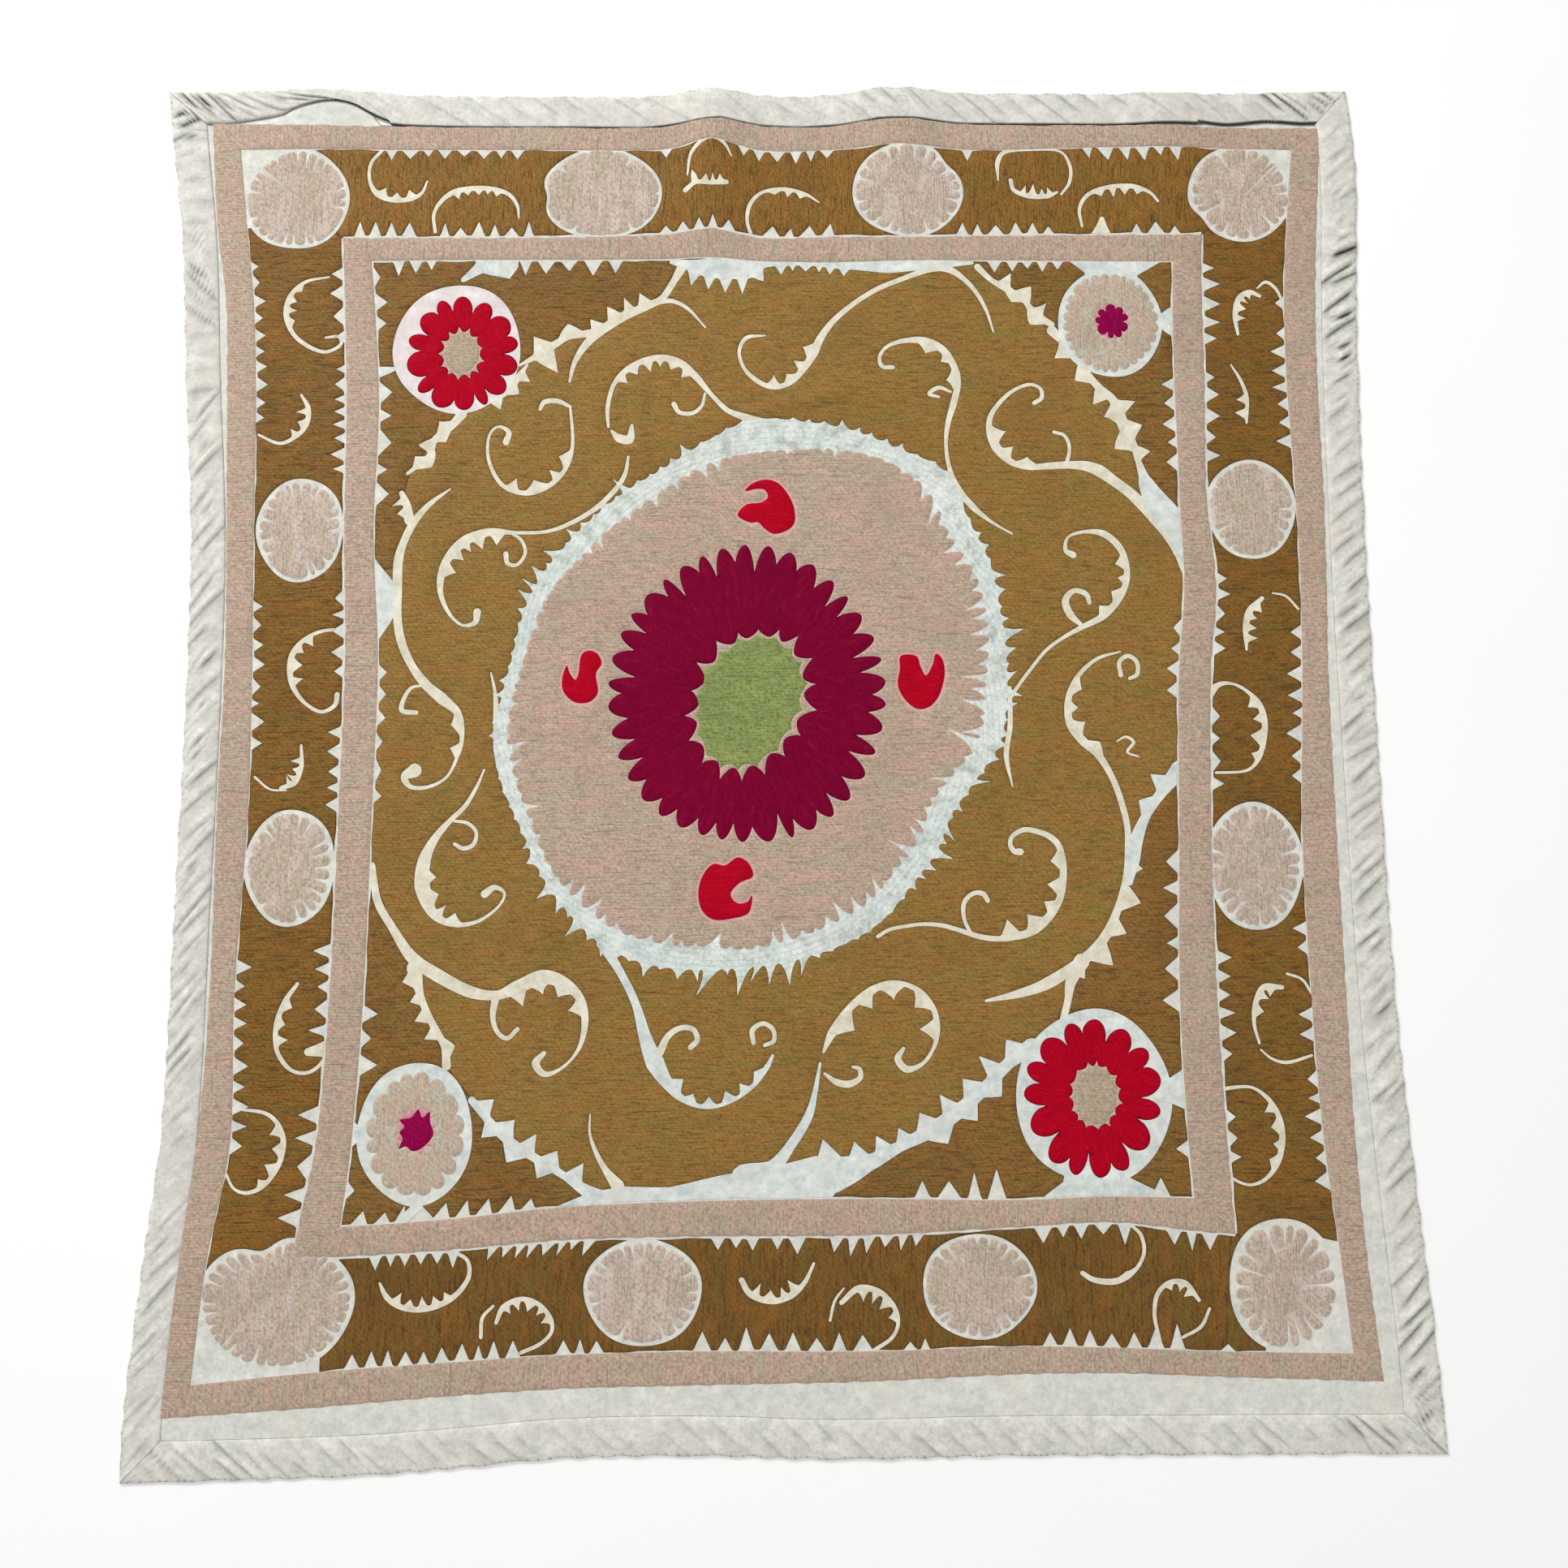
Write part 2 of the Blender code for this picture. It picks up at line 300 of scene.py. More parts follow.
# Bare lines left between the gold stitches of the field, in mm: each has a short route, its width at
# each point of the route, and its teeth as (from share, to share, how many, reach, side).
LEFT, RIGHT = 1, -1
LINE_SHARE = 0.8
WIDE_LINE = 18
FIELD_LINES = (
    (((-249, 287), (-247, 297), (-257, 302), (-265, 293), (-265, 270), (-252, 246), (-229, 238), (-207, 246),
      (-192, 264), (-187, 287), (-190, 322)),
     (8, 6, 3, 3, 4, 5, 6, 6, 5, 4, 3), ((0.40, 0.82, 4, 9, LEFT),)),
    (((-218, 319), (-214, 326), (-202, 327), (-191, 322)), (4, 6, 6, 4), ()),
    (((-191, 346), (-186, 366), (-172, 387), (-145, 408), (-119, 420), (-105, 428), (-94, 445), (-86, 460)),
     (3, 6, 10, 12, 9, 8, 8, 12), ((0.30, 0.72, 4, 10, LEFT),)),
    (((-112, 424), (-95, 425), (-80, 417), (-64, 399)), (8, 5, 4, 2), ()),
    (((-238, 362), (-222, 371), (-206, 382), (-192, 390), (-168, 394)), (3, 8, 9, 7, 10),
     ((0.16, 0.52, 1, 13, LEFT), (0.52, 0.90, 1, 12, LEFT), (0.14, 0.50, 1, 17, RIGHT))),
    (((-271, 325), (-251, 335), (-241, 348), (-231, 362)), (4, 8, 9, 3), ((0.05, 0.92, 3, 8, RIGHT),)),
    (((-291, 314), (-303, 300), (-316, 289), (-321, 273), (-340, 257)), (12, 8, 8, 7, 4),
     ((0.10, 0.95, 3, 8, RIGHT), (0.20, 0.95, 2, 7, LEFT))),
    (((-300, 242), (-318, 228), (-333, 210), (-342, 190), (-346, 172), (-346, 146), (-345, 118), (-340, 95),
      (-330, 74), (-317, 57), (-302, 44), (-287, 30), (-283, 8), (-287, -10), (-296, -28), (-312, -37),
      (-328, -37), (-334, -28), (-325, -22)),
     (2, 6, 9, 9, 11, 11, 10, 10, 9, 11, 13, 8, 5, 4, 3, 4, 5, 9, 15), ((0.66, 0.80, 2, 8, RIGHT),)),
    (((-345, 238), (-340, 227), (-337, 212)), (6, 9, 12), ((0.1, 0.95, 2, 9, RIGHT),)),
    (((-368, 174), (-360, 150), (-359, 120), (-366, 94)), (3, 22, 20, 3), ()),
    (((-318, 56), (-330, 54), (-337, 43), (-338, 33), (-325, 31)), (2, 4, 5, 6, 5), ()),
    (((-272, 125), (-274, 115), (-286, 113), (-298, 124), (-306, 142), (-306, 160), (-299, 178), (-284, 193),
      (-262, 201), (-238, 200), (-212, 201), (-190, 208), (-165, 223), (-147, 241), (-138, 256), (-135, 273)),
     (9, 6, 3, 4, 6, 9, 10, 12, 9, 4, 4, 5, 6, 6, 5, 3), ((0.24, 0.52, 5, 8, RIGHT),)),
    (((-243, 200), (-233, 193), (-229, 181), (-236, 170), (-245, 171), (-247, 180)), (3, 4, 4, 4, 5, 6), ()),
    (((-262, -21), (-269, -38), (-279, -55), (-292, -68), (-305, -84), (-314, -104), (-315, -128), (-305, -151),
      (-287, -161), (-266, -159), (-248, -147), (-241, -134), (-250, -128), (-259, -134)),
     (2, 4, 5, 6, 9, 14, 16, 11, 6, 4, 3, 3, 6, 9), ((0.42, 0.72, 4, 9, LEFT),)),
    (((-288, -68), (-276, -70), (-268, -78), (-270, -89), (-279, -93), (-287, -89)), (3, 4, 4, 5, 5, 4), ()),
    (((-361, -108), (-355, -140), (-341, -164), (-323, -190), (-300, -206), (-270, -221), (-246, -224),
      (-228, -217), (-205, -208), (-185, -214), (-171, -228), (-167, -246), (-170, -266), (-179, -281),
      (-192, -291), (-203, -293), (-210, -284), (-203, -275)),
     (7, 9, 9, 13, 14, 13, 10, 14, 15, 13, 9, 8, 5, 3, 4, 7, 9, 5), ((0.50, 0.76, 4, 11, RIGHT),)),
    (((-247, -226), (-249, -243), (-245, -256), (-236, -262), (-227, -254)), (9, 6, 5, 5, 5), ()),
    (((-320, -200), (-314, -224), (-306, -243), (-298, -257), (-291, -270), (-289, -286)), (16, 8, 8, 8, 8, 10),
     ((0.0, 0.75, 4, 10, RIGHT), (0.72, 0.95, 1, 8, LEFT))),
    (((-266, -316), (-250, -334), (-236, -348), (-217, -361), (-200, -371), (-182, -382), (-160, -396),
      (-135, -406)),
     (8, 9, 10, 10, 9, 8, 14, 18), ((0.0, 0.78, 5, 14, LEFT), (0.12, 0.62, 3, 10, RIGHT))),
    (((-161, -328), (-161, -345), (-155, -362), (-147, -376), (-136, -390)), (1.5, 3, 5, 7, 14), ()),
    (((-196, -412), (-160, -402), (-130, -400), (-90, -398), (-45, -392), (0, -388), (40, -384)),
     (4, 14, 20, 16, 22, 28, 40), ()),
    (((20, -390), (55, -380), (85, -370), (112, -356), (140, -342), (165, -325), (188, -305), (210, -283),
      (230, -270)),
     (34, 30, 16, 12, 15, 15, 13, 13, 18), ((0.08, 0.99, 9, 14, LEFT), (0.48, 0.86, 3, 9, RIGHT))),
    (((-24, -384), (0, -374), (16, -355), (31, -331), (37, -311), (42, -284)), (26, 15, 11, 10, 6, 3), ()),
    (((45, -274), (53, -257), (68, -236), (88, -220), (109, -213), (130, -220), (143, -236), (146, -254),
      (143, -270), (133, -284), (119, -289), (111, -280), (116, -271)),
     (3, 10, 8, 9, 5, 6, 6, 7, 4, 4, 8, 8, 4), ((0.06, 0.74, 5, 10, RIGHT),)),
    (((46, -293), (56, -300), (67, -302), (77, -297), (77, -289), (71, -287)), (3, 7, 8, 6, 5, 3), ()),
    (((-153, -178), (-136, -204), (-122, -232), (-113, -262), (-104, -284), (-91, -304), (-76, -317),
      (-56, -322), (-35, -316), (-17, -303), (-5, -287), (0, -277)),
     (12, 9, 9, 14, 18, 12, 6, 4, 4, 5, 6, 3), ((0.52, 0.96, 6, 7, LEFT),)),
    (((-100, -274), (-93, -260), (-82, -253), (-71, -254), (-67, -263), (-73, -270)), (9, 7, 6, 6, 6, 6), ()),
    (((-17, -266), (-18, -255), (-9, -249), (0, -254), (1, -264), (-7, -268)), (5, 6, 5, 5, 5, 4), ()),
    (((277, 179), (270, 184), (273, 196), (288, 201), (306, 199), (320, 186), (326, 168), (325, 152),
      (317, 136), (303, 121), (284, 111), (266, 101), (250, 89), (236, 72), (224, 56), (217, 46)),
     (8, 5, 3, 4, 8, 8, 7, 7, 8, 8, 6, 4, 4, 4, 4, 5), ((0.30, 0.58, 4, 8, RIGHT),)),
    (((284, 112), (273, 123), (269, 136), (277, 145), (288, 142), (291, 134)), (4, 9, 8, 6, 6, 5), ()),
    (((318, 88), (298, 82), (283, 70), (273, 55), (269, 38), (271, 20), (282, 5), (295, -7), (306, -25),
      (314, -46), (320, -72), (320, -94), (318, -116), (312, -140), (300, -168), (281, -190), (246, -213),
      (218, -223), (190, -229)),
     (2, 4, 5, 6, 8, 9, 10, 9, 7, 7, 7, 7, 7, 8, 11, 12, 13, 9, 3),
     ((0.10, 0.32, 4, 8, LEFT), (0.53, 0.82, 5, 13, LEFT))),
    (((318, 66), (317, 78), (325, 84), (333, 78), (333, 67), (326, 63)), (5, 5, 5, 5, 5, 4), ()),
    (((313, 5), (321, 9), (328, 4), (322, -5), (332, -9)), (2, 3, 4, 3, 2), ()),
    (((369, -21), (352, -42), (338, -62), (329, -82), (324, -104), (321, -124)), (18, 12, 10, 14, 15, 6),
     ((0.08, 0.50, 2, 10, RIGHT),)),
    (((276, -194), (266, -212), (263, -228), (258, -247)), (16, 12, 8, 8), ()),
    (((244, 325), (251, 330), (250, 339), (240, 343), (226, 338), (213, 327), (203, 312), (202, 297),
      (208, 282), (220, 269), (236, 263), (255, 264), (275, 265), (291, 264), (304, 259), (316, 250),
      (329, 240), (342, 227), (355, 213), (367, 198), (375, 182), (379, 164)),
     (5, 5, 4, 4, 4, 5, 6, 8, 11, 8, 6, 8, 9, 12, 14, 12, 12, 13, 15, 15, 13, 7), ((0.25, 0.47, 3, 9, LEFT),)),
    (((273, 266), (276, 281), (272, 293), (262, 297)), (5, 4, 4, 4), ()),
    (((193, 459), (206, 446), (222, 436), (236, 426), (247, 412), (262, 402)), (8, 6, 9, 5, 10, 7),
     ((0.25, 0.90, 3, 10, LEFT), (0.35, 0.98, 2, 8, RIGHT))),
    (((262, 396), (275, 382), (286, 366), (294, 354), (305, 340), (317, 329), (323, 317), (326, 306),
      (331, 293), (337, 281), (340, 268), (346, 250), (356, 232)),
     (12, 8, 6, 8, 9, 10, 12, 13, 13, 8, 7, 12, 16), ((0.05, 0.76, 5, 12, RIGHT), (0.46, 0.80, 3, 11, LEFT))),
    (((112, 360), (102, 361), (100, 371), (108, 381), (124, 386), (142, 386), (158, 378), (168, 364),
      (173, 347), (169, 326), (163, 305), (161, 284), (164, 262), (172, 243), (184, 226), (200, 212),
      (221, 199)),
     (5, 5, 4, 4, 6, 9, 9, 8, 7, 8, 6, 4, 5, 6, 8, 4, 2), ((0.20, 0.46, 3, 8, RIGHT),)),
    (((166, 336), (155, 340), (146, 334), (155, 331)), (3, 5, 5, 3), ()),
    (((-8, 391), (-25, 389), (-32, 376), (-28, 360), (-16, 347), (0, 340), (16, 345), (28, 358), (38, 374),
      (44, 388), (56, 405), (75, 422), (98, 437), (124, 448), (149, 457), (165, 457), (180, 447),
      (192, 433), (201, 415), (207, 395)),
     (2, 5, 4, 4, 6, 6, 7, 8, 10, 9, 7, 6, 6, 6, 8, 9, 6, 5, 4, 2), ((0.20, 0.40, 4, 9, LEFT),)),
    (((-154, 302), (-155, 320), (-150, 342), (-138, 357), (-120, 367), (-102, 369), (-86, 363), (-72, 350),
      (-58, 333), (-42, 317), (-22, 309), (-4, 303)),
     (3, 5, 5, 7, 7, 8, 9, 8, 5, 6, 9, 14), ((0.20, 0.60, 6, 8, RIGHT),)),
    (((-151, 298), (-144, 291), (-134, 290), (-132, 303)), (3, 10, 11, 4), ()),
    (((-64, 334), (-67, 322), (-76, 315), (-88, 316), (-93, 324)), (3, 4, 5, 5, 6), ()),
    (((-96, 464), (-62, 458), (-24, 457), (-6, 462), (30, 463), (66, 461), (110, 459), (150, 461), (188, 463)),
     (6, 20, 20, 8, 6, 10, 14, 10, 4), ((0.05, 0.31, 5, 12, RIGHT), (0.34, 0.60, 6, 7, RIGHT))),
    (((-383, 352), (-371, 355), (-357, 358)), (48, 14, 6), ()),
    (((-266, 467), (-278, 457), (-293, 446)), (52, 14, 6), ()),
    (((320, 468), (319, 452)), (96, 50), ()),
    (((379, 405), (360, 405)), (34, 10), ()),
    (((-386, -345), (-364, -345)), (44, 14), ()),
    (((-312, -426), (-312, -408)), (44, 14), ()),
    (((376, -306), (350, -308)), (48, 20), ()),
    (((285, -406), (283, -384)), (130, 56), ()),
    (((216, 54), (216, 20), (212, -8), (217, -36)), (5, 6, 6, 2), ()),
    (((-258, 68), (-254, 50), (-252, 25), (-252, 0)), (2, 4, 8, 6), ()),
    (((342, 262), (346, 248), (355, 230), (368, 212), (377, 186), (380, 164)), (5, 16, 22, 25, 14, 4), ()),
    (((94, -172), (104, -166), (118, -163), (134, -161), (151, -162), (166, -166), (185, -172), (202, -174),
      (217, -172), (231, -168), (241, -161), (251, -150), (258, -137), (261, -121), (261, -105), (258, -91),
      (251, -83), (240, -78), (227, -76), (217, -81), (214, -88), (217, -95), (223, -96)),
     (4, 4, 4, 4, 5, 5, 6, 6, 8, 9, 10, 9, 8, 8, 8, 7, 7, 6, 6, 5, 5, 6, 8), ((0.37, 0.77, 5, 11, LEFT),)),
    (((178, -170), (172, -158), (171, -145), (175, -137), (182, -133), (189, -134), (193, -140)),
     (4, 4, 5, 5, 5, 6, 5), ()),
)

# Bare hooks left in the gold of the border, in mm, laid out in the same way.
BORDER_LINES = (
    (((-374, 576), (-384, 563), (-385, 546), (-377, 532), (-362, 526), (-346, 527), (-335, 533), (-330, 545)),
     (4, 4, 4, 7, 6, 6, 4, 2), ((0.42, 0.85, 3, 8, LEFT),)),
    (((-321, 494), (-323, 511), (-316, 525), (-302, 535), (-276, 538), (-254, 533), (-244, 521), (-242, 508)),
     (4, 4, 5, 7, 6, 5, 4, 2), ((0.35, 0.75, 5, 5, RIGHT),)),
    (((-82, 550), (-79, 570), (-69, 582), (-58, 586), (-47, 580), (-40, 568)), (2, 4, 5, 5, 4, 2), ()),
    (((-84, 535), (-74, 542), (-60, 541), (-45, 542)), (6, 5, 5, 6), ((0.20, 0.98, 4, 9, LEFT),)),
    (((-20, 488), (-25, 505), (-22, 522), (-10, 534), (10, 537), (30, 532), (43, 524)), (4, 4, 5, 4, 5, 4, 2),
     ((0.50, 0.90, 3, 5, RIGHT),)),
    (((214, 546), (214, 564), (222, 575), (250, 577), (274, 575), (283, 560), (282, 544), (274, 532)),
     (2, 6, 5, 3, 3, 4, 4, 3), ()),
    (((226, 546), (229, 536), (243, 530), (260, 530), (270, 534)), (5, 5, 6, 6, 3), ((0.30, 0.95, 4, 8, LEFT),)),
    (((293, 500), (291, 517), (299, 531), (318, 539), (342, 540), (358, 534), (366, 525)),
     (3, 4, 5, 5, 6, 4, 3), ((0.35, 0.85, 4, 7, RIGHT),)),
    (((311, 488), (312, 507)), (24, 6), ()),
    (((-342, -473), (-336, -484), (-325, -492), (-309, -495), (-292, -492), (-276, -483), (-265, -468),
      (-266, -454), (-276, -448), (-279, -456)),
     (3, 6, 6, 6, 6, 6, 5, 4, 4, 4), ((0.12, 0.58, 5, 8, LEFT),)),
    (((-253, -518), (-252, -502), (-243, -492)), (4, 4, 3), ()),
    (((-240, -506), (-234, -493), (-219, -486), (-204, -490), (-193, -502), (-192, -514), (-202, -524),
      (-218, -531)),
     (4, 6, 5, 5, 5, 4, 4, 4), ((0.10, 0.65, 5, 8, RIGHT),)),
    (((-27, -470), (-19, -482), (-1, -488), (16, -483), (28, -472), (36, -456)), (6, 7, 6, 7, 5, 3),
     ((0.15, 0.75, 4, 8, LEFT),)),
    (((50, -504), (54, -488), (62, -477)), (3, 3, 2), ()),
    (((60, -489), (75, -477), (93, -480), (106, -493), (109, -507), (103, -519), (88, -529)),
     (5, 7, 6, 5, 4, 4, 4), ((0.15, 0.70, 4, 9, RIGHT),)),
    (((270, -464), (281, -470), (299, -471), (314, -464), (324, -448), (322, -432), (313, -423)),
     (5, 6, 7, 4, 4, 4, 3), ((0.30, 0.60, 1, 4, LEFT),)),
    (((336, -522), (332, -500), (335, -482), (346, -472), (360, -473), (371, -487)), (4, 4, 5, 5, 6, 4),
     ((0.55, 0.95, 3, 6, RIGHT),)),
    (((356, -518), (372, -509), (380, -494)), (3, 4, 3), ()),
    (((-420, 449), (-442, 444), (-456, 430), (-459, 411), (-452, 393), (-438, 381), (-421, 375), (-407, 382),
      (-409, 390), (-421, 389)),
     (2, 4, 6, 7, 5, 5, 4, 4, 4, 3), ((0.15, 0.50, 4, 6, LEFT),)),
    (((-442, 333), (-435, 320), (-436, 304), (-446, 292), (-461, 286), (-480, 294)), (3, 6, 6, 5, 4, 3),
     ((0.15, 0.60, 3, 8, RIGHT),)),
    (((-392, 109), (-414, 107), (-430, 99), (-440, 86), (-442, 70), (-438, 54), (-427, 40), (-412, 32),
      (-400, 38), (-398, 48)),
     (3, 4, 5, 7, 7, 6, 4, 4, 5, 6), ((0.20, 0.60, 4, 7, LEFT),)),
    (((-429, 1), (-428, -18), (-434, -33), (-446, -38)), (3, 5, 7, 4), ((0.20, 0.90, 4, 8, RIGHT),)),
    (((-470, -28), (-456, -39), (-441, -40)), (3, 2.5, 2), ()),
    (((-424, -214), (-434, -229), (-441, -249), (-441, -269), (-434, -283), (-424, -291), (-412, -292),
      (-402, -286), (-396, -276)),
     (4, 6, 6, 5, 5, 4, 4, 4, 3), ((0.10, 0.50, 3, 7, LEFT),)),
    (((-394, -271), (-412, -274)), (18, 9), ()),
    (((-470, -324), (-449, -327), (-437, -336), (-431, -351), (-433, -368), (-440, -382), (-450, -392),
      (-462, -396), (-473, -392), (-480, -380)),
     (3, 4, 5, 6, 6, 5, 5, 4, 3, 3), ((0.25, 0.75, 4, 8, RIGHT),)),
    (((437, 392), (435, 410), (439, 427), (449, 434), (459, 430)), (3, 6, 7, 6, 4), ((0.20, 0.90, 4, 6, RIGHT),)),
    (((457, 438), (465, 444), (474, 438), (480, 426)), (2, 4, 4, 3), ()),
    (((429, 362), (438, 346), (443, 329), (442, 306)), (2, 4, 5, 3), ((0.50, 0.98, 2, 8, RIGHT),)),
    (((434, 90), (434, 110), (438, 126), (450, 138)), (3, 7, 8, 5), ((0.10, 0.95, 4, 7, RIGHT),)),
    (((460, 143), (472, 140), (483, 128)), (2, 3, 3), ()),
    (((396, 46), (407, 57), (420, 58), (433, 51), (444, 38), (448, 20), (444, -4), (436, -18), (425, -23),
      (402, -24)),
     (12, 6, 3, 4, 7, 7, 6, 4, 3, 3), ((0.30, 0.75, 4, 8, RIGHT),)),
    (((432, -266), (428, -249), (430, -231), (438, -217), (454, -217)), (3, 4, 6, 7, 5),
     ((0.30, 0.95, 3, 7, RIGHT),)),
    (((459, -205), (472, -210), (480, -222)), (3, 3, 3), ()),
    (((433, -272), (443, -280), (457, -283), (478, -277)), (2, 3, 4, 3), ()),
    (((392, -308), (407, -305), (424, -305), (438, -315), (447, -331), (449, -350), (444, -370), (433, -384),
      (419, -389), (405, -384), (396, -374)),
     (4, 4, 3, 5, 6, 7, 6, 4, 3, 3, 3), ((0.30, 0.70, 4, 7, RIGHT),)),
)

# Pale rosettes of the border, in mm, slit all round their rims.
ROSETTES = (
    # name, x, y, half width, half height, slits, slit depth, dent's angle, dent's share, bare rim
    ("top_left", -454, 527, 47, 47, 28, 8, 0, 0.00, 5.0),
    ("top_inner_left", -164, 533, 55, 43, 18, 7, 184, 0.10, 4.0),
    ("top_inner_right", 128, 536, 50, 44, 22, 9, 40, 0.09, 4.0),
    ("top_right", 444, 533, 46, 45, 22, 11, 214, 0.10, 5.0),
    ("left_upper", -438, 203, 37, 46, 24, 9, 0, 0.00, 5.0),
    ("left_lower", -435, -110, 37, 49, 24, 10, 0, 0.00, 5.5),
    ("right_upper", 443, 223, 38, 44, 24, 8, 0, 0.00, 5.0),
    ("right_lower", 434, -108, 40, 54, 26, 9, 0, 0.00, 5.5),
    ("bottom_left", -432, -489, 64, 53, 34, 9, 104, 0.20, 6.0),
    ("bottom_inner_left", -113, -480, 48, 42, 28, 9, 0, 0.00, 5.0),
    ("bottom_inner_right", 180, -475, 47, 42, 28, 8, 0, 0.00, 4.0),
    ("bottom_right", 446, -474, 44, 52, 20, 17, 0, 0.00, 7.0),
)
ROSETTE_CORNERS = (
    # bare cloth left in the border's outer corners, in mm
    ((-516, 584), (-446, 584), (-452, 550), (-484, 530), (-490, 500), (-516, 492)),
    ((466, 586), (506, 586), (506, 505), (478, 512), (470, 540), (450, 560)),
    ((-524, -460), (-480, -468), (-440, -500), (-392, -520), (-392, -566), (-524, -574)),
    ((470, -432), (506, -440), (518, -542), (426, -545), (430, -500), (460, -470)),
)

# The gold of the field's corners, in mm, cut along the bare lines that part it from the middle.
CORNERS = {
    "top_left": ((-395, 478), (-86, 478), (-94, 445), (-119, 419), (-172, 393), (-206, 386), (-237, 363),
                 (-262, 335), (-291, 313), (-316, 289), (-338, 258), (-342, 240), (-336, 212), (-344, 188), (-352, 166),
                 (-395, 158)),
    "top_right": ((193, 478), (193, 459), (222, 436), (262, 400), (275, 384), (298, 350), (320, 326),
                  (328, 298), (343, 262), (363, 226), (372, 190), (395, 180), (395, 478)),
    "bottom_left": ((-400, -120), (-360, -115), (-341, -164), (-318, -200), (-306, -243), (-289, -286),
                    (-264, -318), (-236, -348), (-200, -371), (-160, -396), (-135, -406), (-135, -440),
                    (-400, -440)),
    "bottom_right": ((395, -10), (369, -21), (341, -64), (326, -100), (318, -122), (296, -172), (274, -208),
                     (252, -248), (230, -270), (188, -305), (140, -342), (85, -370), (40, -392), (40, -430),
                     (400, -430)),
}

# The middle medallion, in mm.
MEDALLION = (-20, 44)
RING_RADII = (
    # angle in degrees, the bare ring's outer radius, its teeth's reach, the pink disc's radius, its cuts' reach
    (0, 233, 8, 214, 14),
    (10, 237, 10, 221, 14),
    (20, 243, 11, 231, 13),
    (30, 254, 10, 238, 12),
    (40, 262, 5, 240, 10),
    (50, 280, 9, 256, 12),
    (60, 273, 9, 258, 7),
    (70, 271, 9, 251, 6),
    (80, 267, 3, 240, 5),
    (90, 264, 2, 233, 5),
    (100, 247, 6, 227, 6),
    (110, 233, 10, 217, 7),
    (120, 228, 9, 209, 8),
    (130, 225, 8, 208, 7),
    (140, 224, 6, 207, 7),
    (150, 225, 9, 211, 9),
    (160, 224, 11, 212, 7),
    (170, 222, 9, 212, 8),
    (180, 228, 4, 219, 9),
    (190, 238, 2, 226, 9),
    (200, 239, 3, 227, 10),
    (210, 239, 9, 230, 10),
    (220, 247, 11, 238, 9),
    (230, 254, 10, 242, 10),
    (240, 260, 6, 243, 10),
    (250, 257, 10, 237, 10),
    (260, 249, 18, 229, 10),
    (270, 243, 17, 228, 10),
    (280, 240, 15, 222, 10),
    (290, 238, 3, 218, 10),
    (300, 234, 2, 214, 12),
    (310, 223, 4, 204, 12),
    (320, 218, 10, 200, 14),
    (330, 210, 11, 190, 12),
    (340, 217, 11, 198, 13),
    (350, 230, 7, 212, 14),
)
RING_TEETH = 112
DISC_CUTS = 104

# The red curls round the medallion, in mm: the outline of each.
CURLS = {
    "top": ((-26, 240), (-20, 247), (-8, 251), (4, 248), (13, 238), (19, 225), (20, 211), (14, 203), (1, 199),
            (-8, 204), (-14, 210), (-22, 210), (-33, 217), (-25, 227), (-12, 229), (-5, 234), (-8, 241), (-16, 242)),
    "left": ((-189, 75), (-193, 62), (-191, 50), (-181, 41), (-168, 41), (-160, 50), (-162, 67), (-157, 77),
             (-161, 86), (-169, 89), (-176, 84), (-178, 68), (-181, 62), (-186, 68)),
    "right": ((117, 84), (116, 72), (114, 57), (120, 44), (131, 35), (143, 37), (152, 48), (157, 67), (155, 81),
              (149, 86), (146, 76), (140, 66), (135, 74), (131, 84)),
    "bottom": ((-19, -135), (-23, -141), (-32, -142), (-38, -134), (-30, -124), (-18, -118), (-22, -106),
               (-32, -101), (-43, -108), (-54, -107), (-63, -117), (-67, -132), (-64, -148), (-53, -157),
               (-37, -156), (-23, -152), (-19, -143)),
}
LITTLE_FLOWER = ((-313, -324), (-309, -331), (-303, -326), (-302, -335), (-299, -346), (-308, -357), (-317, -360),
                 (-323, -356), (-329, -358), (-326, -349), (-329, -344), (-325, -339), (-329, -333), (-319, -331))

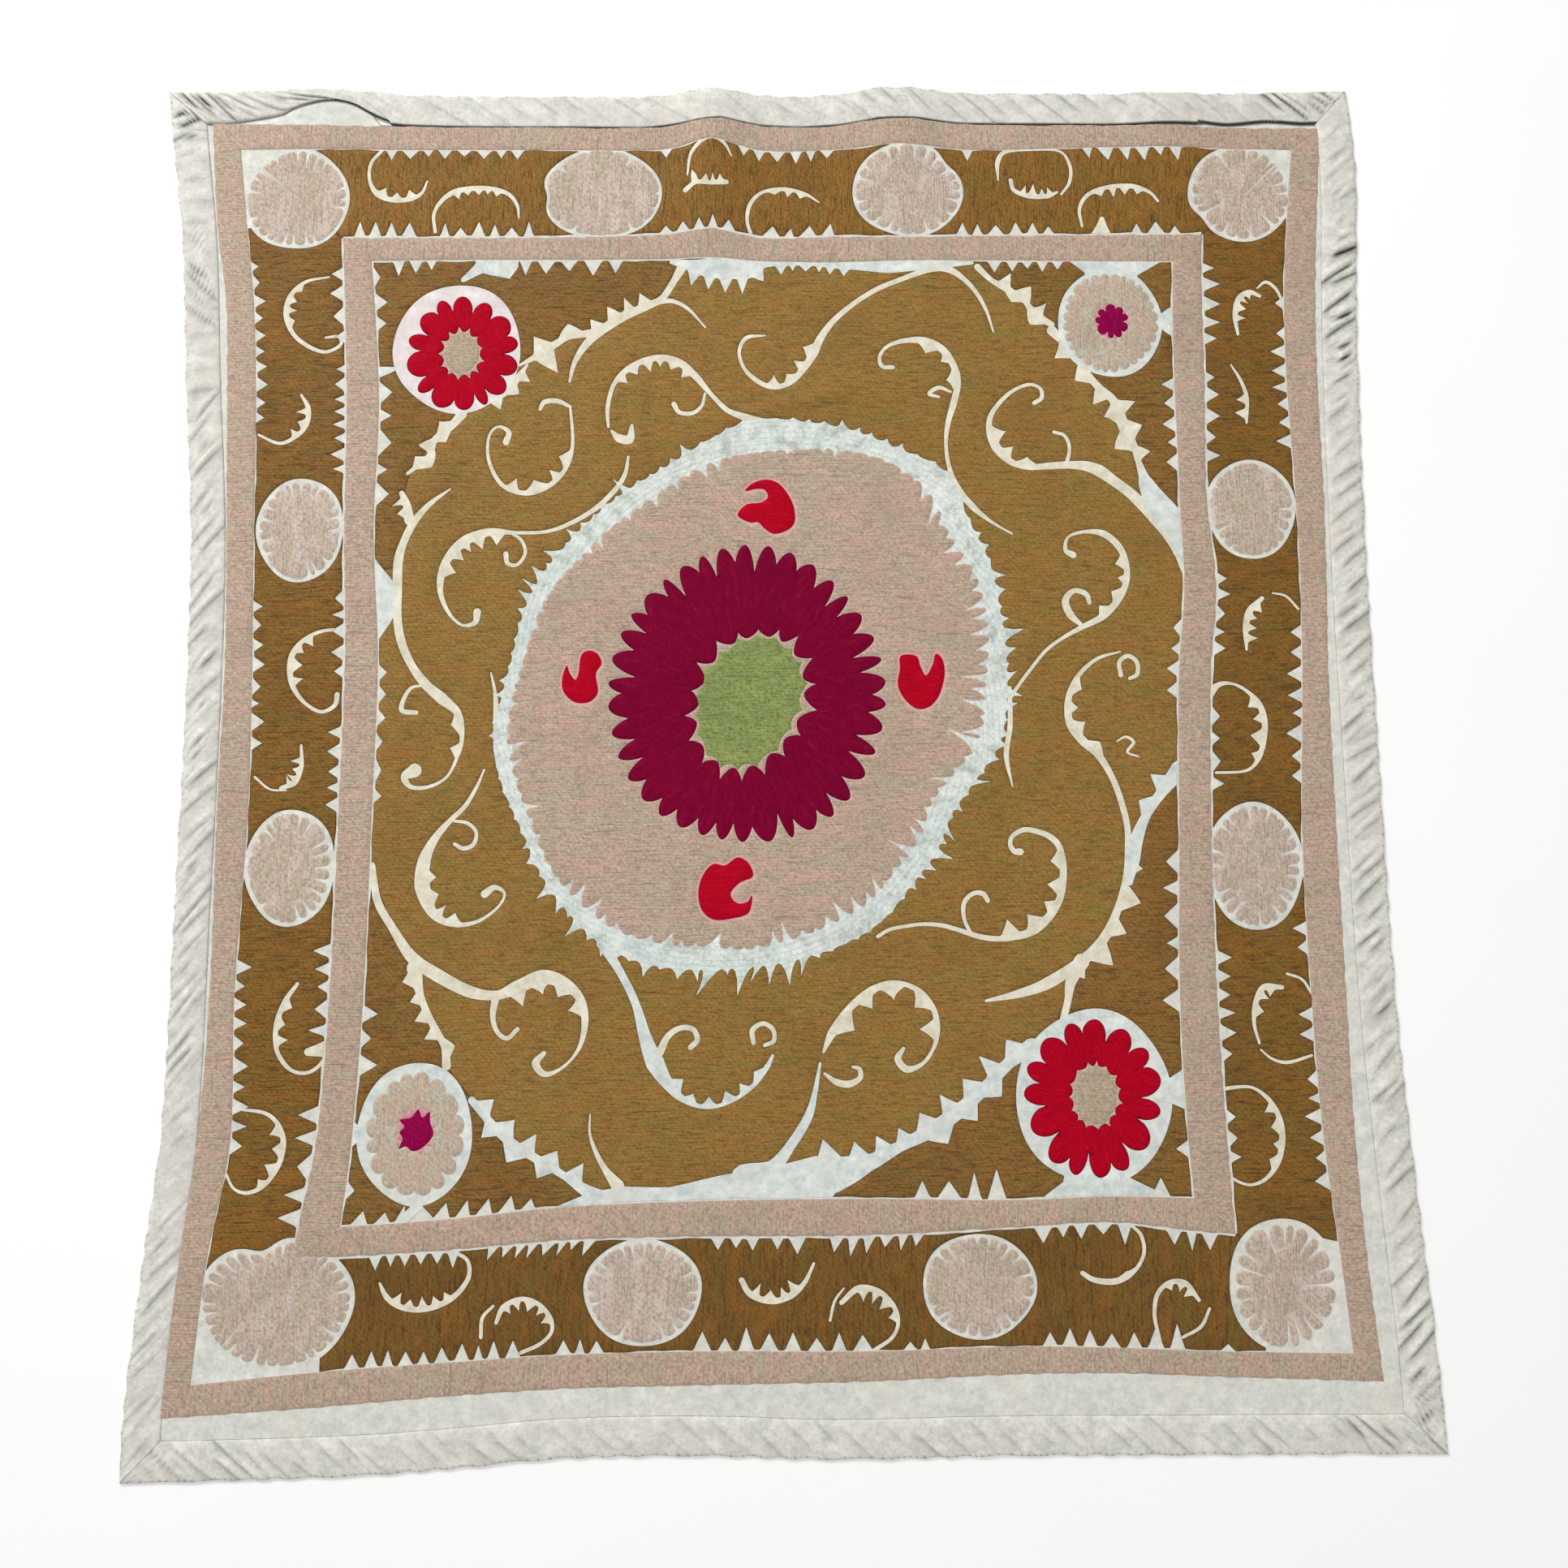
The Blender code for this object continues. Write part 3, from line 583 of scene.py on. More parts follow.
# Flowers with petals round a middle, in mm.
PETALLED = (
    # name, x, y, half width, half height, petals, cut depth, cut sharpness, finish
    ("flower_medallion", -24, 48, 127, 138, 38, 22, 0.8, "Magenta"),
    ("flower_top_left", -292, 373, 53, 56, 14, 14, 0.6, "Red"),
    ("flower_bottom_right", 283, -314, 61, 69, 15, 18, 0.6, "Red"),
)
BARE_GROUNDS = (
    # x, y, half width, half height, kind of the bare cloth round a corner flower
    (-297, 378, 60, 63, "bare_stained"),
    (284, -313, 69, 76, "bare_puffs"),
    (317, 404, 49, 54, "bare_puffs"),
    (-315, -345, 51, 62, "bare_puffs"),
)
FLOWER_MIDDLES = (
    # name, x, y, half width, half height, turn, points, point depth, pointed, finish
    ("middle_points", -21, 42, 58, 75, -22, 18, 12, 1, "Pink Disc"),
    ("middle_green", -22, 42, 50, 67, -22, 18, 6, 1, "Green"),
    ("middle_top_left_points", -293, 373, 22, 26, 0, 13, 5, 1, "Pink Disc"),
    ("middle_top_left", -293, 374, 17, 20, 0, 9, 2, 0, "Beige"),
    ("middle_bottom_right_points", 285, -312, 25, 31, 0, 15, 5, 1, "Pink Disc"),
    ("middle_bottom_right", 285, -312, 20, 26, 0, 9, 2, 0, "Beige"),
    ("disc_top_right", 317, 404, 45, 49, 0, 28, 5, 0, "Pale Disc"),
    ("middle_top_right_rays", 319, 405, 20, 21, 0, 16, 5, 1, "Pink Halo"),
    ("middle_top_right", 319, 405, 16, 17, 0, 9, 6, 0, "Magenta Small"),
    ("disc_bottom_left", -315, -346, 44, 54, 0, 16, 9, 0, "Pale Disc"),
    ("middle_bottom_left_rays", -314, -342, 20, 23, 0, 12, 5, 1, "Pink Halo"),
)


# Settings that a user of the cloth would change


class ClothSizes(bpy.types.PropertyGroup):
    """Sizes of the cloths and of the thread work on them."""
    ground_thickness: FloatProperty(
        name="Ground Thickness", description="Thickness of the ground cloth without its stitches",
        default=1.4 * MM, min=0.5 * MM, max=3 * MM, unit="LENGTH")
    strip_thickness: FloatProperty(
        name="Strip Thickness", description="Thickness of an edge strip, with its two layers",
        default=1.8 * MM, min=0.5 * MM, max=3 * MM, unit="LENGTH")
    thread_height: FloatProperty(
        name="Thread Height", description="How far the laid threads stand above the ground cloth",
        default=0.8 * MM, min=0.2 * MM, max=2 * MM, unit="LENGTH")
    thread_rounding: FloatProperty(
        name="Thread Rounding", description="Width over which a stitched shape rounds down to its edge",
        default=1.5 * MM, min=0.5 * MM, max=4 * MM, unit="LENGTH")
    grid_step: FloatProperty(
        name="Grid Step", description="Distance between the points of the stitched surfaces",
        default=6 * MM, min=3 * MM, max=20 * MM, unit="LENGTH")
    crease_depth: FloatProperty(
        name="Crease Depth", description="Depth of the slanting creases of the edge strips",
        default=3.0 * MM, min=0.3 * MM, max=6 * MM, unit="LENGTH")
    stitch_pitch: FloatProperty(
        name="Stitch Pitch", description="Distance between the running stitches of the seams",
        default=3.6 * MM, min=1 * MM, max=10 * MM, unit="LENGTH")
    seed: IntProperty(
        name="Seed", description="Chooses the unevenness of the hand work", default=7, min=0, max=99)


def colour_setting(name, description, red, green, blue):
    return FloatVectorProperty(
        name=name, description=description, subtype="COLOR", size=3, min=0.0, max=1.0,
        default=tint(red, green, blue))


class ThreadColours(bpy.types.PropertyGroup):
    """Main colours of the threads and cloths."""
    field_gold: colour_setting("Field Gold", "Threads of the field", 146, 112, 52)
    corner_gold: colour_setting("Corner Gold", "Threads of the field's corners", 132, 96, 42)
    border_gold: colour_setting("Border Gold", "Threads of the border", 126, 90, 32)
    pink: colour_setting("Pink", "Threads of the bands and rosettes", 184, 161, 142)
    magenta: colour_setting("Magenta", "Threads of the medallion's petals", 122, 0, 44)
    red: colour_setting("Red", "Threads of the red flowers and curls", 172, 0, 30)
    green: colour_setting("Green", "Threads of the medallion's middle", 134, 148, 84)
    beige: colour_setting("Beige", "Threads of the red flowers' middles", 176, 160, 136)
    ground: colour_setting("Ground", "Ground cloth", 222, 222, 212)
    strip: colour_setting("Strip", "Cloth of the edge strips", 240, 238, 228)


# Shapes drawn with few points


def curve(route, step=1.5, closed=False):
    """A smooth curve through a short route, sampled about every step, with each sample's place on the route."""
    nodes = np.asarray(route, float)
    count = len(nodes)
    spans = count if closed else count - 1
    samples, places = [], []
    for i in range(spans):
        if closed:
            before, start, end, after = (nodes[(i + k) % count] for k in (-1, 0, 1, 2))
        else:
            start, end = nodes[i], nodes[i + 1]
            before = nodes[i - 1] if i else 2 * start - end
            after = nodes[i + 2] if i + 2 < count else 2 * end - start
        parts = max(2, math.ceil(np.linalg.norm(end - start) / step))
        t = (np.arange(parts) / parts)[:, None]
        samples.append(0.5 * (2 * start + (end - before) * t + (2 * before - 5 * start + 4 * end - after) * t**2
                              + (3 * start - before - 3 * end + after) * t**3))
        places.append(i + t[:, 0])
    if not closed:
        samples.append(nodes[-1:])
        places.append(np.array([count - 1.0]))
    return np.concatenate(samples), np.concatenate(places)


def lengthwise(line):
    """The share of a line's length at each of its samples."""
    run = np.concatenate(([0.0], np.cumsum(np.linalg.norm(np.diff(line, axis=0), axis=1))))
    return run / run[-1], run[-1]


def tooth_cuts(first, last, count, key):
    """Where the teeth of a row begin and end, unevenly spaced."""
    rng = random.Random(f"cuts {key}")
    cuts = [k + (rng.uniform(-0.22, 0.22) if 0 < k < count else 0) for k in range(count + 1)]
    return first + (last - first) * np.array(cuts) / count


def tooth_reach(place, cuts, reach, key):
    """How far a row of pointed teeth stands out at each place, with round gaps between the teeth."""
    count = len(cuts) - 1
    own = np.array([random.Random(f"{key} {k}").uniform(0.6, 1.15) for k in range(count + 1)])
    place = np.interp(place, cuts, np.arange(count + 1), left=0, right=0)
    size = own[np.clip(place.astype(int), 0, count)]
    pointed = np.clip(1 - np.abs(2 * (place % 1) - 1) / 0.72, 0, 1)
    return np.where((place > 0) & (place < count), 1.15 * reach * size * pointed, 0.0)


def ribbon(route, widths, teeth, key):
    """The outline of a line of changing width, with rounded ends and toothed stretches."""
    line, places = curve(route)
    share, _ = lengthwise(line)
    tangent = np.gradient(line, axis=0)
    tangent /= np.linalg.norm(tangent, axis=1)[:, None]
    cuts = [tooth_cuts(*row[:3], f"{key} {k}") for k, row in enumerate(teeth)]
    wanted = np.unique(np.concatenate([share] + [(c[1:] + c[:-1]) / 2 for c in cuts]))
    line = np.stack([np.interp(wanted, share, line[:, k]) for k in (0, 1)], axis=1)
    tangent = np.stack([np.interp(wanted, share, tangent[:, k]) for k in (0, 1)], axis=1)
    half = np.interp(np.interp(wanted, share, places), np.arange(len(widths)), widths) / 2
    half *= np.clip(LINE_SHARE + 0.04 * (half - 6), LINE_SHARE, 1.0)
    normal = np.stack((-tangent[:, 1], tangent[:, 0]), axis=1)
    reach = {LEFT: half.copy(), RIGHT: half.copy()}
    for k, (_, _, _, length, side) in enumerate(teeth):
        reach[side] += tooth_reach(wanted, cuts[k], length, f"{key} {k}")
    left = line + normal * reach[LEFT][:, None]
    right = line - normal * reach[RIGHT][:, None]
    turn = np.radians((60, 30, 0, -30, -60))[:, None]
    end_cap = line[-1] + half[-1] * (np.cos(turn) * tangent[-1] + np.sin(turn) * normal[-1])
    start_cap = line[0] + half[0] * (-np.cos(turn) * tangent[0] - np.sin(turn) * normal[0])
    return np.concatenate((left, end_cap, right[::-1], start_cap))


def ring_outline(x, y, wide, high, count, depth, key, sharpness=0.6, dent=0.0, dent_angle=0.0, turn=0.0,
                 pointed=False, least=0.55):
    """A round outline with rounded petals and narrow cuts, or with narrow points and rounded gaps."""
    around = math.pi * (wide + high)
    total = count * 2 * max(3, math.ceil(around / count / 3.0))
    place = np.arange(total) / total * count
    angle = np.interp(place, np.arange(count + 1), tooth_cuts(0, math.tau, count, key))
    own = np.array([random.Random(f"{key} {k}").uniform(least, 1.2) for k in range(count)])
    if pointed:
        notch = depth * (1 - own[place.astype(int) % count] * (1 - np.abs(np.cos(np.pi * place)) ** sharpness))
    else:
        notch = depth * own[np.rint(place).astype(int) % count] * (1 - np.abs(np.sin(np.pi * place)) ** sharpness)
    off = (np.degrees(angle) - dent_angle + 180) % 360 - 180
    radius = 1 - dent * np.exp(-((off / 16) ** 2))
    radius = radius * (1 + 0.012 * np.sin(3 * angle + len(key)) + 0.010 * np.sin(5 * angle + 2 * len(key)))
    tilt = math.radians(turn)
    across, up = np.cos(angle) * (wide * radius - notch), np.sin(angle) * (high * radius - notch)
    return np.stack((x + across * math.cos(tilt) - up * math.sin(tilt),
                     y + across * math.sin(tilt) + up * math.cos(tilt)), axis=1)


def polar_outline(column, teeth, key, outward):
    """The medallion's ring or disc, from its table of radii, with pointed teeth all round."""
    rows = sorted((row[0] + turn, *row[1:]) for row in RING_RADII for turn in (-360, 0, 360))
    base, _ = curve([(row[0], row[column]) for row in rows], step=4)
    angles, reach = [row[0] for row in rows], [row[column + 1] for row in rows]
    cuts = tooth_cuts(0, 360, teeth, key)
    parts = 6
    place = np.arange(teeth * parts) / parts
    angle = np.interp(place, np.arange(teeth + 1), cuts)
    rng = random.Random(key)
    own = np.array([0.25 + 1.8 * rng.random() ** 2 for _ in range(teeth)])
    lean = np.array([rng.uniform(-0.6, 0.6) for _ in range(teeth)])
    which = place.astype(int)
    tooth = np.interp(angle, angles, reach) * own[which] * (1 - np.abs(np.cos(np.pi * place)) ** 0.7)
    radius = np.interp(angle, base[:, 0], base[:, 1]) + tooth * (1 if outward else -1)
    turn = np.radians(angle + lean[which] * tooth * 0.2)
    return np.stack((MEDALLION[0] + np.cos(turn) * radius, MEDALLION[1] + np.sin(turn) * radius), axis=1)


# The bands' edges and the strips of teeth along them


def edge_value(side, column, station):
    """Where a band's edge lies at a station along its side, in mm."""
    line, _ = curve([(row[0], row[column]) for row in BAND_EDGES[side]], step=10)
    return np.interp(station, line[:, 0], line[:, 1])


def loop_corner(upright, level, column):
    """Where two sides of a band's edge meet."""
    x = y = 0.0
    for _ in range(9):
        x = float(edge_value(upright, column, y))
        y = float(edge_value(level, column, x))
    return x, y


def side_ends(side, column):
    """The stations at which a side of a band's edge starts and ends."""
    if side in ("left", "right"):
        return [loop_corner(side, level, column)[1] for level in ("bottom", "top")]
    return [loop_corner(upright, side, column)[0] for upright in ("left", "right")]


def on_edge(side, column, stations):
    """Points of a band's edge at stations along its side."""
    values = edge_value(side, column, stations)
    if side in ("left", "right"):
        return np.stack((values, stations), axis=1)
    return np.stack((stations, values), axis=1)


def loop_outline(column, grow=0.0):
    """A band's whole edge, as one closed outline, moved outwards by grow."""
    runs = []
    for side, back in (("bottom", False), ("right", False), ("top", True), ("left", True)):
        start, end = side_ends(side, column)
        stations = np.linspace(start, end, max(2, round((end - start) / 8)))
        points = on_edge(side, column, stations) + np.array(OUTWARD[side]) * grow
        runs.append(points[::-1] if back else points)
    return np.concatenate(runs)


OUTWARD = {"left": (-1, 0), "right": (1, 0), "top": (0, 1), "bottom": (0, -1)}
TUCK = 1.5


def fringe_outline(side, column, inwards):
    """The strip of bare cloth between a band and the gold beside it, with its toothed runs."""
    start, end = side_ends(side, column)
    rows = [row for row in FRINGES if row[0] == side and row[1] == column]
    stations = [np.arange(start, end, 1.5), [end]]
    cuts = [tooth_cuts(*row[2:5], f"{side} {column} {row[2]}") for row in rows]
    stations = np.unique(np.concatenate(stations + [(c[1:] + c[:-1]) / 2 for c in cuts]))
    ripple = 0.4 * np.sin(stations * 0.071 + column) + 0.3 * np.sin(stations * 0.19 + 2 * column)
    reach = FRINGE_REST[column] + ripple
    shift = np.zeros(len(stations))
    for (_, _, first, _, _, length, lean), own in zip(rows, cuts):
        tooth = tooth_reach(stations, own, length, f"{side} {column} {first}")
        reach = reach + tooth
        shift += tooth * lean
    away = np.array(OUTWARD[side]) * (-1 if inwards else 1)
    edge = on_edge(side, column, stations)
    lean_way = np.array((abs(away[1]), abs(away[0])))
    far = edge + away * reach[:, None] + lean_way * shift[:, None]
    return np.concatenate((edge - away * TUCK, far[::-1]))


# The cloth as it lies


def side_station(table, share, key):
    """The point at a share of the way along a side, on a smooth curve through its table."""
    first, last = table[0][key], table[-1][key]
    value = first + (last - first) * share
    index = 0
    while index < len(table) - 2 and table[index + 1][key] < value:
        index += 1
    before = np.array(table[max(index - 1, 0)])
    start = np.array(table[index])
    end = np.array(table[index + 1])
    after = np.array(table[min(index + 2, len(table) - 1)])
    span = end[key] - start[key]
    part = (value - start[key]) / span
    slope_in = (end - before) * span / (end[key] - before[key])
    slope_out = (after - start) * span / (after[key] - start[key])
    square, cube = part**2, part**3
    return (start * (2 * cube - 3 * square + 1) + slope_in * (cube - 2 * square + part)
            + end * (3 * square - 2 * cube) + slope_out * (cube - square))


def side_stations():
    sides = {}
    for name, table, key, count in (("top", TOP_SIDE, 0, PANEL_COLUMNS), ("bottom", BOTTOM_SIDE, 0, PANEL_COLUMNS),
                                    ("left", LEFT_SIDE, 1, PANEL_ROWS), ("right", RIGHT_SIDE, 1, PANEL_ROWS)):
        sides[name] = np.array([side_station(table, i / count, key) for i in range(count + 1)])
    points = np.concatenate(list(sides.values()))
    middle = (points.min(axis=0) + points.max(axis=0)) / 2
    return {name: side - middle for name, side in sides.items()}


SIDES = side_stations()
WIDTH = TOP_SIDE[-1][0] - TOP_SIDE[0][0]
LENGTH = LEFT_SIDE[-1][1] - LEFT_SIDE[0][1]


def on_side(name, share):
    stations = np.linspace(0, 1, len(SIDES[name]))
    return np.stack([np.interp(share, stations, SIDES[name][:, k]) for k in (0, 1)], axis=-1)


def on_cloth(across, along):
    """Plan positions for shares of the way across and along, blended from the four sides."""
    across, along = np.broadcast_arrays(np.asarray(across, float), np.asarray(along, float))
    a, b = across[..., None], along[..., None]
    ends = on_side("bottom", across) * (1 - b) + on_side("top", across) * b
    sides = on_side("left", along) * (1 - a) + on_side("right", along) * a
    corners = ((SIDES["bottom"][0] * (1 - a) + SIDES["bottom"][-1] * a) * (1 - b)
               + (SIDES["top"][0] * (1 - a) + SIDES["top"][-1] * a) * b)
    return ends + sides - corners


def swell(points, table):
    """The summed height of the soft ridges in a table, at plan positions in metres."""
    lift = np.zeros(points.shape[:-1])
    for x, y, half_length, half_width, turn, height in table:
        angle = math.radians(turn)
        step = points - np.array((x, y))
        run = step[..., 0] * math.cos(angle) + step[..., 1] * math.sin(angle)
        side = step[..., 1] * math.cos(angle) - step[..., 0] * math.sin(angle)
        lift += height * np.exp(-((run / half_length) ** 2) - (side / half_width) ** 2)
    return lift


def cloth_lift(points):
    """How high the cloth's underside stands off the surface at plan positions in metres."""
    return np.maximum(swell(points, FOLDS) - FOLD_EDGE, 0.0) + swell(points, CREASES)


def puckering(points):
    """The slight puckering that the stitches draw the cloth into, in metres."""
    x, y = points[..., 0] * 1000, points[..., 1] * 1000
    waves = np.sin(x * 0.105 + 1.7 * np.sin(y * 0.021)) * np.sin(y * 0.083 + 1.3 * np.sin(x * 0.017))
    small = np.sin(x * 0.31 + 2.1 * np.sin(y * 0.05)) * np.sin(y * 0.27 + 1.1 * np.sin(x * 0.06))
    return (0.20 * waves + 0.09 * small) * MM


# Stitched shapes, cut from one triangulation of a zone


BARE = None


def lies_flat(kind):
    """True for the kinds of shape that have no thread on them."""
    return kind is BARE or kind.startswith("bare_")


class Chart:
    """The shapes of one zone of stitching, in order from the lowest to the highest."""

    def __init__(self, zone_shapes):
        self.zone_shapes = zone_shapes
        self.shapes = []

    def add(self, outline, kind):
        self.shapes.append((np.asarray(outline, float), kind))


def resampled(outline, longest=2.6, shortest=0.35):
    """An outline without near-double points, and with no side longer than asked."""
    points = [outline[0]]
    for point in outline[1:]:
        if np.linalg.norm(point - points[-1]) > shortest:
            points.append(point)
    if np.linalg.norm(points[0] - points[-1]) < shortest:
        points.pop()
    result = []
    for start, end in zip(points, points[1:] + points[:1]):
        parts = max(1, math.ceil(np.linalg.norm(end - start) / longest))
        result.extend(start + (end - start) * k / parts for k in range(parts))
    return np.array(result)


def point_tree(points):
    tree = kdtree.KDTree(len(points))
    for i, (x, y) in enumerate(points):
        tree.insert((x, y, 0.0), i)
    tree.balance()
    return tree


def beside(outline, distance, both_sides):
    """Points a short way outside an outline, or on both its sides."""
    ahead = np.roll(outline, -1, axis=0) - np.roll(outline, 1, axis=0)
    size = np.linalg.norm(ahead, axis=1)[:, None]
    normal = np.stack((-ahead[:, 1], ahead[:, 0]), axis=1) / np.maximum(size, 1e-6)
    x, y = outline.T
    outward = -1 if (x * np.roll(y, -1) - np.roll(x, -1) * y).sum() > 0 else 1
    sides = [outline + normal * distance * outward]
    if both_sides:
        sides.append(outline - normal * distance * outward)
    return np.concatenate(sides)


def spaced(points, distance):
    """The points with those that crowd an earlier one left out."""
    taken = set()
    kept = []
    for x, y in points:
        cell = (int(x // distance), int(y // distance))
        if cell not in taken:
            taken.add(cell)
            kept.append((x, y))
    return kept


def winding(points, outline):
    """How many times an outline goes round each point."""
    x, y = points[:, 0][:, None], points[:, 1][:, None]
    x0, y0 = outline[:, 0][None], outline[:, 1][None]
    x1, y1 = np.roll(outline[:, 0], -1)[None], np.roll(outline[:, 1], -1)[None]
    side = (x1 - x0) * (y - y0) - (x - x0) * (y1 - y0)
    up = (y0 <= y) & (y1 > y) & (side > 0)
    down = (y0 > y) & (y1 <= y) & (side < 0)
    return up.sum(axis=1) - down.sum(axis=1)


def triangulated(points, edges):
    """Triangles over all points, and for each triangle its neighbours across sides that no outline follows."""
    verts, lines, faces, _, origins, _ = geometry.delaunay_2d_cdt(
        [Vector(p) for p in points], edges, [], 0, 0.004, True)
    fixed = {tuple(sorted(line)) for line, origin in zip(lines, origins) if origin}
    by_line = {}
    for index, face in enumerate(faces):
        for a, b in zip(face, face[1:] + face[:1]):
            by_line.setdefault((a, b) if a < b else (b, a), []).append(index)
    return np.array([tuple(v) for v in verts]), faces, by_line, fixed


def regions(face_count, by_line, fixed):
    """The region that each triangle belongs to, where outlines are the regions' borders."""
    near = [[] for _ in range(face_count)]
    for line, sharing in by_line.items():
        if line not in fixed and len(sharing) == 2:
            near[sharing[0]].append(sharing[1])
            near[sharing[1]].append(sharing[0])
    label = [-1] * face_count
    count = 0
    for start in range(face_count):
        if label[start] >= 0:
            continue
        label[start] = count
        waiting = [start]
        while waiting:
            for other in near[waiting.pop()]:
                if label[other] < 0:
                    label[other] = count
                    waiting.append(other)
        count += 1
    return np.array(label), count


def doubled_area(verts, faces):
    corners = verts[faces]
    a, b = corners[:, 1] - corners[:, 0], corners[:, 2] - corners[:, 0]
    return a[:, 0] * b[:, 1] - a[:, 1] * b[:, 0]


def cut_zone(chart, step, rounding):
    """Each kind's triangles in a zone: the plan points that all kinds share, and the faces of each kind."""
    shapes = [(resampled(outline), kind) for outline, kind in chart.shapes]
    points, edges = [], []
    for outline, _ in shapes:
        start, count = len(points), len(outline)
        points.extend(map(tuple, outline))
        edges.extend((start + i, start + (i + 1) % count) for i in range(count))
    tree = point_tree(points)
    inset = rounding * 0.8
    close = [p for outline, kind in shapes for p in beside(outline, inset, not lies_flat(kind))]
    close = spaced(close, inset)
    close = [p for p in close if tree.find((p[0], p[1], 0.0))[2] > inset * 0.72]
    low = np.min([p.min(axis=0) for p, _ in shapes], axis=0)
    high = np.max([p.max(axis=0) for p, _ in shapes], axis=0)
    rng = np.random.default_rng(11)
    grid = [(x + (step / 2 if row % 2 else 0), y)
            for row, y in enumerate(np.arange(low[1], high[1], step * 0.87)) for x in np.arange(low[0], high[0], step)]
    grid = np.array(grid) + rng.uniform(-0.18, 0.18, (len(grid), 2)) * step
    grid = [tuple(p) for p in grid if tree.find((p[0], p[1], 0.0))[2] > step * 0.55]
    verts, faces, by_line, fixed = triangulated(points + close + grid, edges)
    label, count = regions(len(faces), by_line, fixed)
    face_array = np.array(faces)
    area = np.abs(doubled_area(verts, face_array))
    order = np.argsort(area)
    largest = np.zeros(count, int)
    largest[label[order]] = order
    middles = verts[face_array[largest]].mean(axis=1)
    kinds = np.full(count, -1)
    in_zone = np.zeros(count, bool)
    names = []
    for number, (outline, kind) in enumerate(shapes):
        inside = np.all((middles >= outline.min(axis=0)) & (middles <= outline.max(axis=0)), axis=1)
        where = np.nonzero(inside)[0]
        if len(where) == 0:
            continue
        if kind not in names:
            names.append(kind)
        hit = where[winding(middles[where], outline) != 0]
        kinds[hit] = names.index(kind)
        if number < chart.zone_shapes:
            in_zone[hit] = True
    kinds[~in_zone] = -1
    kind_of_face = kinds[label]
    return verts, {name: face_array[kind_of_face == i] for i, name in enumerate(names)
                   if name is not BARE and np.any(kind_of_face == i)}


def outer_lines(faces):
    """The sides that only one of the faces has, in the direction that the face runs along them."""
    ahead = np.concatenate([faces[:, (k, (k + 1) % 3)] for k in range(3)])
    known = {}
    for a, b in ahead.tolist():
        known[(a, b)] = known.get((a, b), 0) + 1
    return [(a, b) for (a, b) in known if (b, a) not in known]


def closed_patch(verts, faces, top_of, root_of, step):
    """A closed body over a patch of triangles: a rounded top, sides that go down, and a plain underside."""
    flip = doubled_area(verts, faces) < 0
    faces = np.where(flip[:, None], faces[:, ::-1], faces)
    used, local = np.unique(faces, return_inverse=True)
    faces = local.reshape(faces.shape)
    plan = verts[used]
    lines = outer_lines(faces)
    rim = sorted({a for line in lines for a in line})
    tree = point_tree(plan[rim])
    away = np.array([tree.find((x, y, 0.0))[2] for x, y in plan])
    away[rim] = 0.0
    height, inner = top_of(plan, away)
    root = {a: i for i, a in enumerate(rim)}
    rim_plan = plan[rim]
    low, high = rim_plan.min(axis=0), rim_plan.max(axis=0)
    grid = [(x, y) for x in np.arange(low[0] + step / 2, high[0], step)
            for y in np.arange(low[1] + step / 2, high[1], step)]
    grid = [p for p in grid if tree.find((p[0], p[1], 0.0))[2] > step * 0.3]
    under_plan, under_faces, by_line, fixed = triangulated(
        [tuple(p) for p in rim_plan] + grid, [(root[a], root[b]) for a, b in lines])
    label, count = regions(len(under_faces), by_line, fixed)
    beyond = [set() for _ in range(count)]
    inside = [None] * count
    waiting = []
    for line, sharing in by_line.items():
        if len(sharing) == 1:
            inside[label[sharing[0]]] = line in fixed
            waiting.append(label[sharing[0]])
        elif line in fixed:
            a, b = label[sharing[0]], label[sharing[1]]
            beyond[a].add(b)
            beyond[b].add(a)
    while waiting:
        here = waiting.pop()
        for other in beyond[here]:
            if inside[other] is None:
                inside[other] = not inside[here]
                waiting.append(other)
    kept = np.array([f for f, where in zip(under_faces, label) if inside[where]])
    kept = np.where((doubled_area(under_plan, kept) > 0)[:, None], kept[:, ::-1], kept)
    match = point_tree(under_plan)
    to_under = {a: match.find((*plan[a], 0.0))[1] for a in rim}
    points = np.concatenate((np.column_stack((plan, height)), np.column_stack((under_plan, root_of(under_plan)))))
    base = len(plan)
    walls = []
    for a, b in lines:
        walls.append((a, to_under[a] + base, to_under[b] + base))
        walls.append((a, to_under[b] + base, b))
    all_faces = np.concatenate((faces, kept + base, np.array(walls)))
    edge = np.concatenate((inner, np.zeros(len(under_plan))))
    return points, all_faces, edge


def lift_mm(plan):
    """The height of the cloth's underside at plan points in mm, in mm."""
    points = plan * MM
    return (cloth_lift(points) + puckering(points)) / MM


def mesh_object(name, points, faces, material, marks=None, mark_name="edge", smooth_angle=50.0, centre=None):
    """A new object from points in metres and faces, with one mark for each point."""
    mesh = bpy.data.meshes.new(name)
    mesh.from_pydata([tuple(p) for p in points], [], [tuple(map(int, f)) for f in faces])
    mesh.validate()
    mesh.materials.append(material)
    mesh.shade_smooth()
    mesh.set_sharp_from_angle(angle=math.radians(smooth_angle))
    if marks is not None:
        mesh.attributes.new(mark_name, "FLOAT", "POINT").data.foreach_set("value", np.asarray(marks, np.float32))
    if centre is not None:
        middle = np.tile(np.array((centre[0] * MM, centre[1] * MM, 0), np.float32), len(mesh.vertices))
        mesh.attributes.new("centre", "FLOAT_VECTOR", "POINT").data.foreach_set("vector", middle)
    piece = bpy.data.objects.new(name, mesh)
    bpy.context.scene.collection.objects.link(piece)
    return piece


